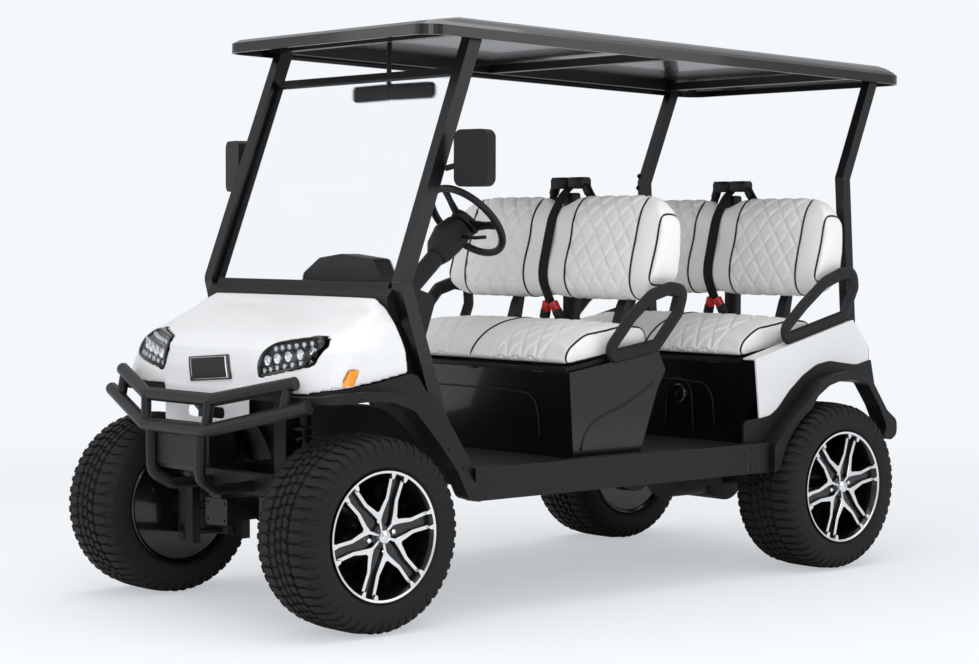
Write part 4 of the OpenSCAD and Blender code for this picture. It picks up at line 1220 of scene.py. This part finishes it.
def make_base_relief():
    """The raised lines moulded into the seat bases, and the round charging port in the rear one."""
    tree = tree_of("seat_bases")
    lines = []
    for row in (ROW_FRONT, ROW_FRONT + SEAT_PITCH):
        face = [cast(tree, (x, row - 0.25, z), (0, 1, 0)) for x, z in FRONT_RECESS]
        lines.append(relief_line(face))
    for sign in (1, -1):
        side = [cast(tree, (sign * 1.0, ROW_FRONT + y, z), (-sign, 0, 0)) for y, z in SIDE_CURVE]
        lines.append(relief_line(side))
    x, z = PORT
    at = cast(tree, (x, ROW_FRONT + SEAT_PITCH - 0.25, z), (0, 1, 0))

    def ring(q, out):
        return ellipse(at + Vector((0, -out, 0)), RIGHT, UP, q, q, 36)
    port = loft([ring(0.038, -0.002), ring(0.038, 0.006), ring(0.033, 0.010), ring(0.028, 0.009),
                 ring(0.026, 0.002), ring(0.019, 0.002), ring(0.017, 0.006), ring(0.002, 0.007)])
    arch = ellipse(at + Vector((0, -0.001, 0)), RIGHT, UP, PORT_ARCH_R, PORT_ARCH_R, 24)[:13]
    arch = [arch[0] + Vector((0.006, 0, -0.12))] + arch + [arch[-1] + Vector((-0.006, 0, -0.12))]
    lines.append(relief_line(arch))
    piece("base_relief", join(lines), "chassis", "black_plastic")
    piece("charging_port", port, "chassis", "black_gloss", edge=FITTING_EDGE)


def make_fixings():
    """Bolts on the posts and fender flares, the seats' hinges, and the seams across the sill covers with
    their plugs.
    """
    bolts, blocks = [], []
    posts = tree_of("rear_posts")
    sills = tree_of("rocker_panels")
    flares = tree_of("fender_flares")
    sill_lo, sill_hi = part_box("rocker_panels")
    for sign in (1, -1):
        out = Vector((sign, 0, 0))
        y, z = POST_BOLT
        for dz in (0, 0.055):
            bolts.append(bolt(cast(posts, (sign * 1.0, y - dz * 0.3, z + dz), (-sign, 0, 0)), out))
        for back in SILL_SEAMS:
            y = sill_hi.y - back
            top = cast(sills, (sign * 1.0, y, sill_hi.z - 0.006), (-sign, 0, 0))
            low = cast(sills, (sign * 1.0, y, sill_lo.z + 0.006), (-sign, 0, 0))
            blocks.append(rounded_bar(low, top, Vector((0, 1, 0)), 0.0016, 0.0012, ends=0.002))
            for z in (sill_lo.z + 0.018, sill_hi.z - 0.014):
                at = cast(sills, (sign * 1.0, y + 0.022, z), (-sign, 0, 0))
                bolts.append(bolt(at, out, r=0.0045, tall=0.002))
        for y, z in FLARE_STUDS:
            at = cast(flares, (sign * 1.0, y, z), (-sign, 0, 0))
            bolts.append(bolt(at, out, r=0.005, tall=0.003))
    for row in (ROW_FRONT, ROW_FRONT + SEAT_PITCH):
        for x in (-0.36, 0.02, 0.36):
            a = Vector((x - 0.026, row - 0.003, 0.7255))
            blocks.append(rounded_bar(a, a + Vector((0.052, 0, 0)), Vector((0, 1, 0)), 0.004, 0.003))
    piece("fixings", join(bolts), "chassis", "black_steel", edge=FITTING_EDGE)
    piece("seams_and_hinges", join(blocks), "chassis", "black_gloss", edge=FITTING_EDGE)


# Scene

LENS = 83.59
CAMERA_AT = (5.800, -5.198, 1.172)
CAMERA_AZIMUTH = 48.84
CAMERA_ELEVATION = 2.47
CAMERA_ROLL = 0.13
SKY, SKY_STRENGTH = (0.92, 0.94, 0.96, 1), 0.6
BACKDROP = (0.905, 0.935, 0.965, 1)
LIGHTS = {
    "top": ((0.3, -0.3, 4.6), (0, 0, 0.6), (5.5, 5.0), 140),
    "key": ((5.2, -4.6, 3.4), (0, 0, 0.8), (4.5, 3.5), 120),
    "side": ((5.5, 3.0, 2.4), (0, 0.2, 0.8), (4.0, 3.0), 42),
    "front": ((-3.0, -5.5, 2.4), (0, 0, 0.8), (4.0, 3.0), 42),
}
FLOOR_COLOUR = (0.93, 0.94, 0.955, 1)
FLOOR_HALF = 60
FLOOR_NEAR, FLOOR_FAR = 1.8, 6.0
FLOOR_LIFT = 0.5


def make_camera():
    data = bpy.data.cameras.new("camera")
    data.lens = LENS
    data.sensor_width = 36
    data.sensor_fit = "HORIZONTAL"
    data.clip_end = 100
    cam = linked("camera", data)
    a, e = math.radians(CAMERA_AZIMUTH), math.radians(CAMERA_ELEVATION)
    forward = Vector((-math.sin(a) * math.cos(e), math.cos(a) * math.cos(e), -math.sin(e)))
    turn = forward.to_track_quat("-Z", "Y").to_matrix().to_4x4()
    roll = Matrix.Rotation(math.radians(CAMERA_ROLL), 4, "Z")
    cam.matrix_world = Matrix.Translation(CAMERA_AT) @ turn @ roll
    bpy.context.scene.camera = cam


def area_light(name, at, target, size, power):
    data = bpy.data.lights.new(name, "AREA")
    data.shape = "RECTANGLE"
    data.size, data.size_y = size
    data.energy = power
    obj = linked(name, data)
    direction = Vector(target) - Vector(at)
    obj.matrix_world = Matrix.Translation(at) @ direction.to_track_quat("-Z", "Y").to_matrix().to_4x4()


def make_studio():
    scene = bpy.context.scene
    scene.view_settings.view_transform = "Standard"
    world = bpy.data.worlds.new("studio")
    scene.world = world
    world.use_nodes = True
    nodes, links = world.node_tree.nodes, world.node_tree.links
    nodes["Background"].inputs["Color"].default_value = SKY
    nodes["Background"].inputs["Strength"].default_value = SKY_STRENGTH
    seen = nodes.new("ShaderNodeBackground")
    seen.inputs["Color"].default_value = BACKDROP
    mix = nodes.new("ShaderNodeMixShader")
    links.new(seen_ray(nodes, links), mix.inputs["Fac"])
    links.new(nodes["Background"].outputs[0], mix.inputs[1])
    links.new(seen.outputs[0], mix.inputs[2])
    links.new(mix.outputs[0], nodes["World Output"].inputs["Surface"])
    for name, light in LIGHTS.items():
        area_light(name, *light)
    make_floor()


def seen_ray(nodes, links):
    """1 for rays from the camera and through glass."""
    path = nodes.new("ShaderNodeLightPath")
    pick = nodes.new("ShaderNodeMath")
    pick.operation = "MAXIMUM"
    links.new(path.outputs["Is Camera Ray"], pick.inputs[0])
    links.new(path.outputs["Is Transmission Ray"], pick.inputs[1])
    return pick.outputs[0]


def make_floor():
    """A pale floor that takes the cart's shadow and turns into the backdrop further out."""
    mesh = bpy.data.meshes.new("floor")
    s = FLOOR_HALF
    mesh.from_pydata([(-s, -s, 0), (s, -s, 0), (s, s, 0), (-s, s, 0)], [], [(0, 1, 2, 3)])
    floor = linked("floor", mesh)
    m = bpy.data.materials.new("floor")
    m.use_nodes = True
    nodes, links = m.node_tree.nodes, m.node_tree.links
    shader = nodes["Principled BSDF"]
    shader.inputs["Roughness"].default_value = 0.9
    shader.inputs["Specular IOR Level"].default_value = 0.1
    shader.inputs["Base Color"].default_value = FLOOR_COLOUR
    coords = nodes.new("ShaderNodeTexCoord")
    away = nodes.new("ShaderNodeVectorMath")
    away.operation = "LENGTH"
    links.new(coords.outputs["Object"], away.inputs[0])
    fade = nodes.new("ShaderNodeMapRange")
    fade.interpolation_type = "SMOOTHSTEP"
    fade.inputs["From Min"].default_value = FLOOR_NEAR
    fade.inputs["From Max"].default_value = FLOOR_FAR
    fade.inputs["To Min"].default_value = FLOOR_LIFT
    links.new(away.outputs["Value"], fade.inputs["Value"])
    both = nodes.new("ShaderNodeMath")
    both.operation = "MULTIPLY"
    links.new(fade.outputs["Result"], both.inputs[0])
    links.new(seen_ray(nodes, links), both.inputs[1])
    flat = nodes.new("ShaderNodeEmission")
    flat.inputs["Color"].default_value = BACKDROP
    mix = nodes.new("ShaderNodeMixShader")
    links.new(both.outputs[0], mix.inputs["Fac"])
    links.new(shader.outputs[0], mix.inputs[1])
    links.new(flat.outputs[0], mix.inputs[2])
    links.new(mix.outputs[0], nodes["Material Output"].inputs["Surface"])
    mesh.materials.append(m)


def main():
    make_camera()
    make_studio()
    make_materials()
    for name, node in frame["nodes"].items():
        if name in FINISH:
            dress_node(name, node)
    for end, side, centre, size in cart_wheels():
        make_tyre(end, side, centre, size)
        make_rim(end, side, centre, size)
    make_benches()
    make_head_lamps()
    make_badge()
    make_glass_trim()
    make_steering_wheel()
    make_shocks()
    make_base_relief()
    make_fixings()


main()
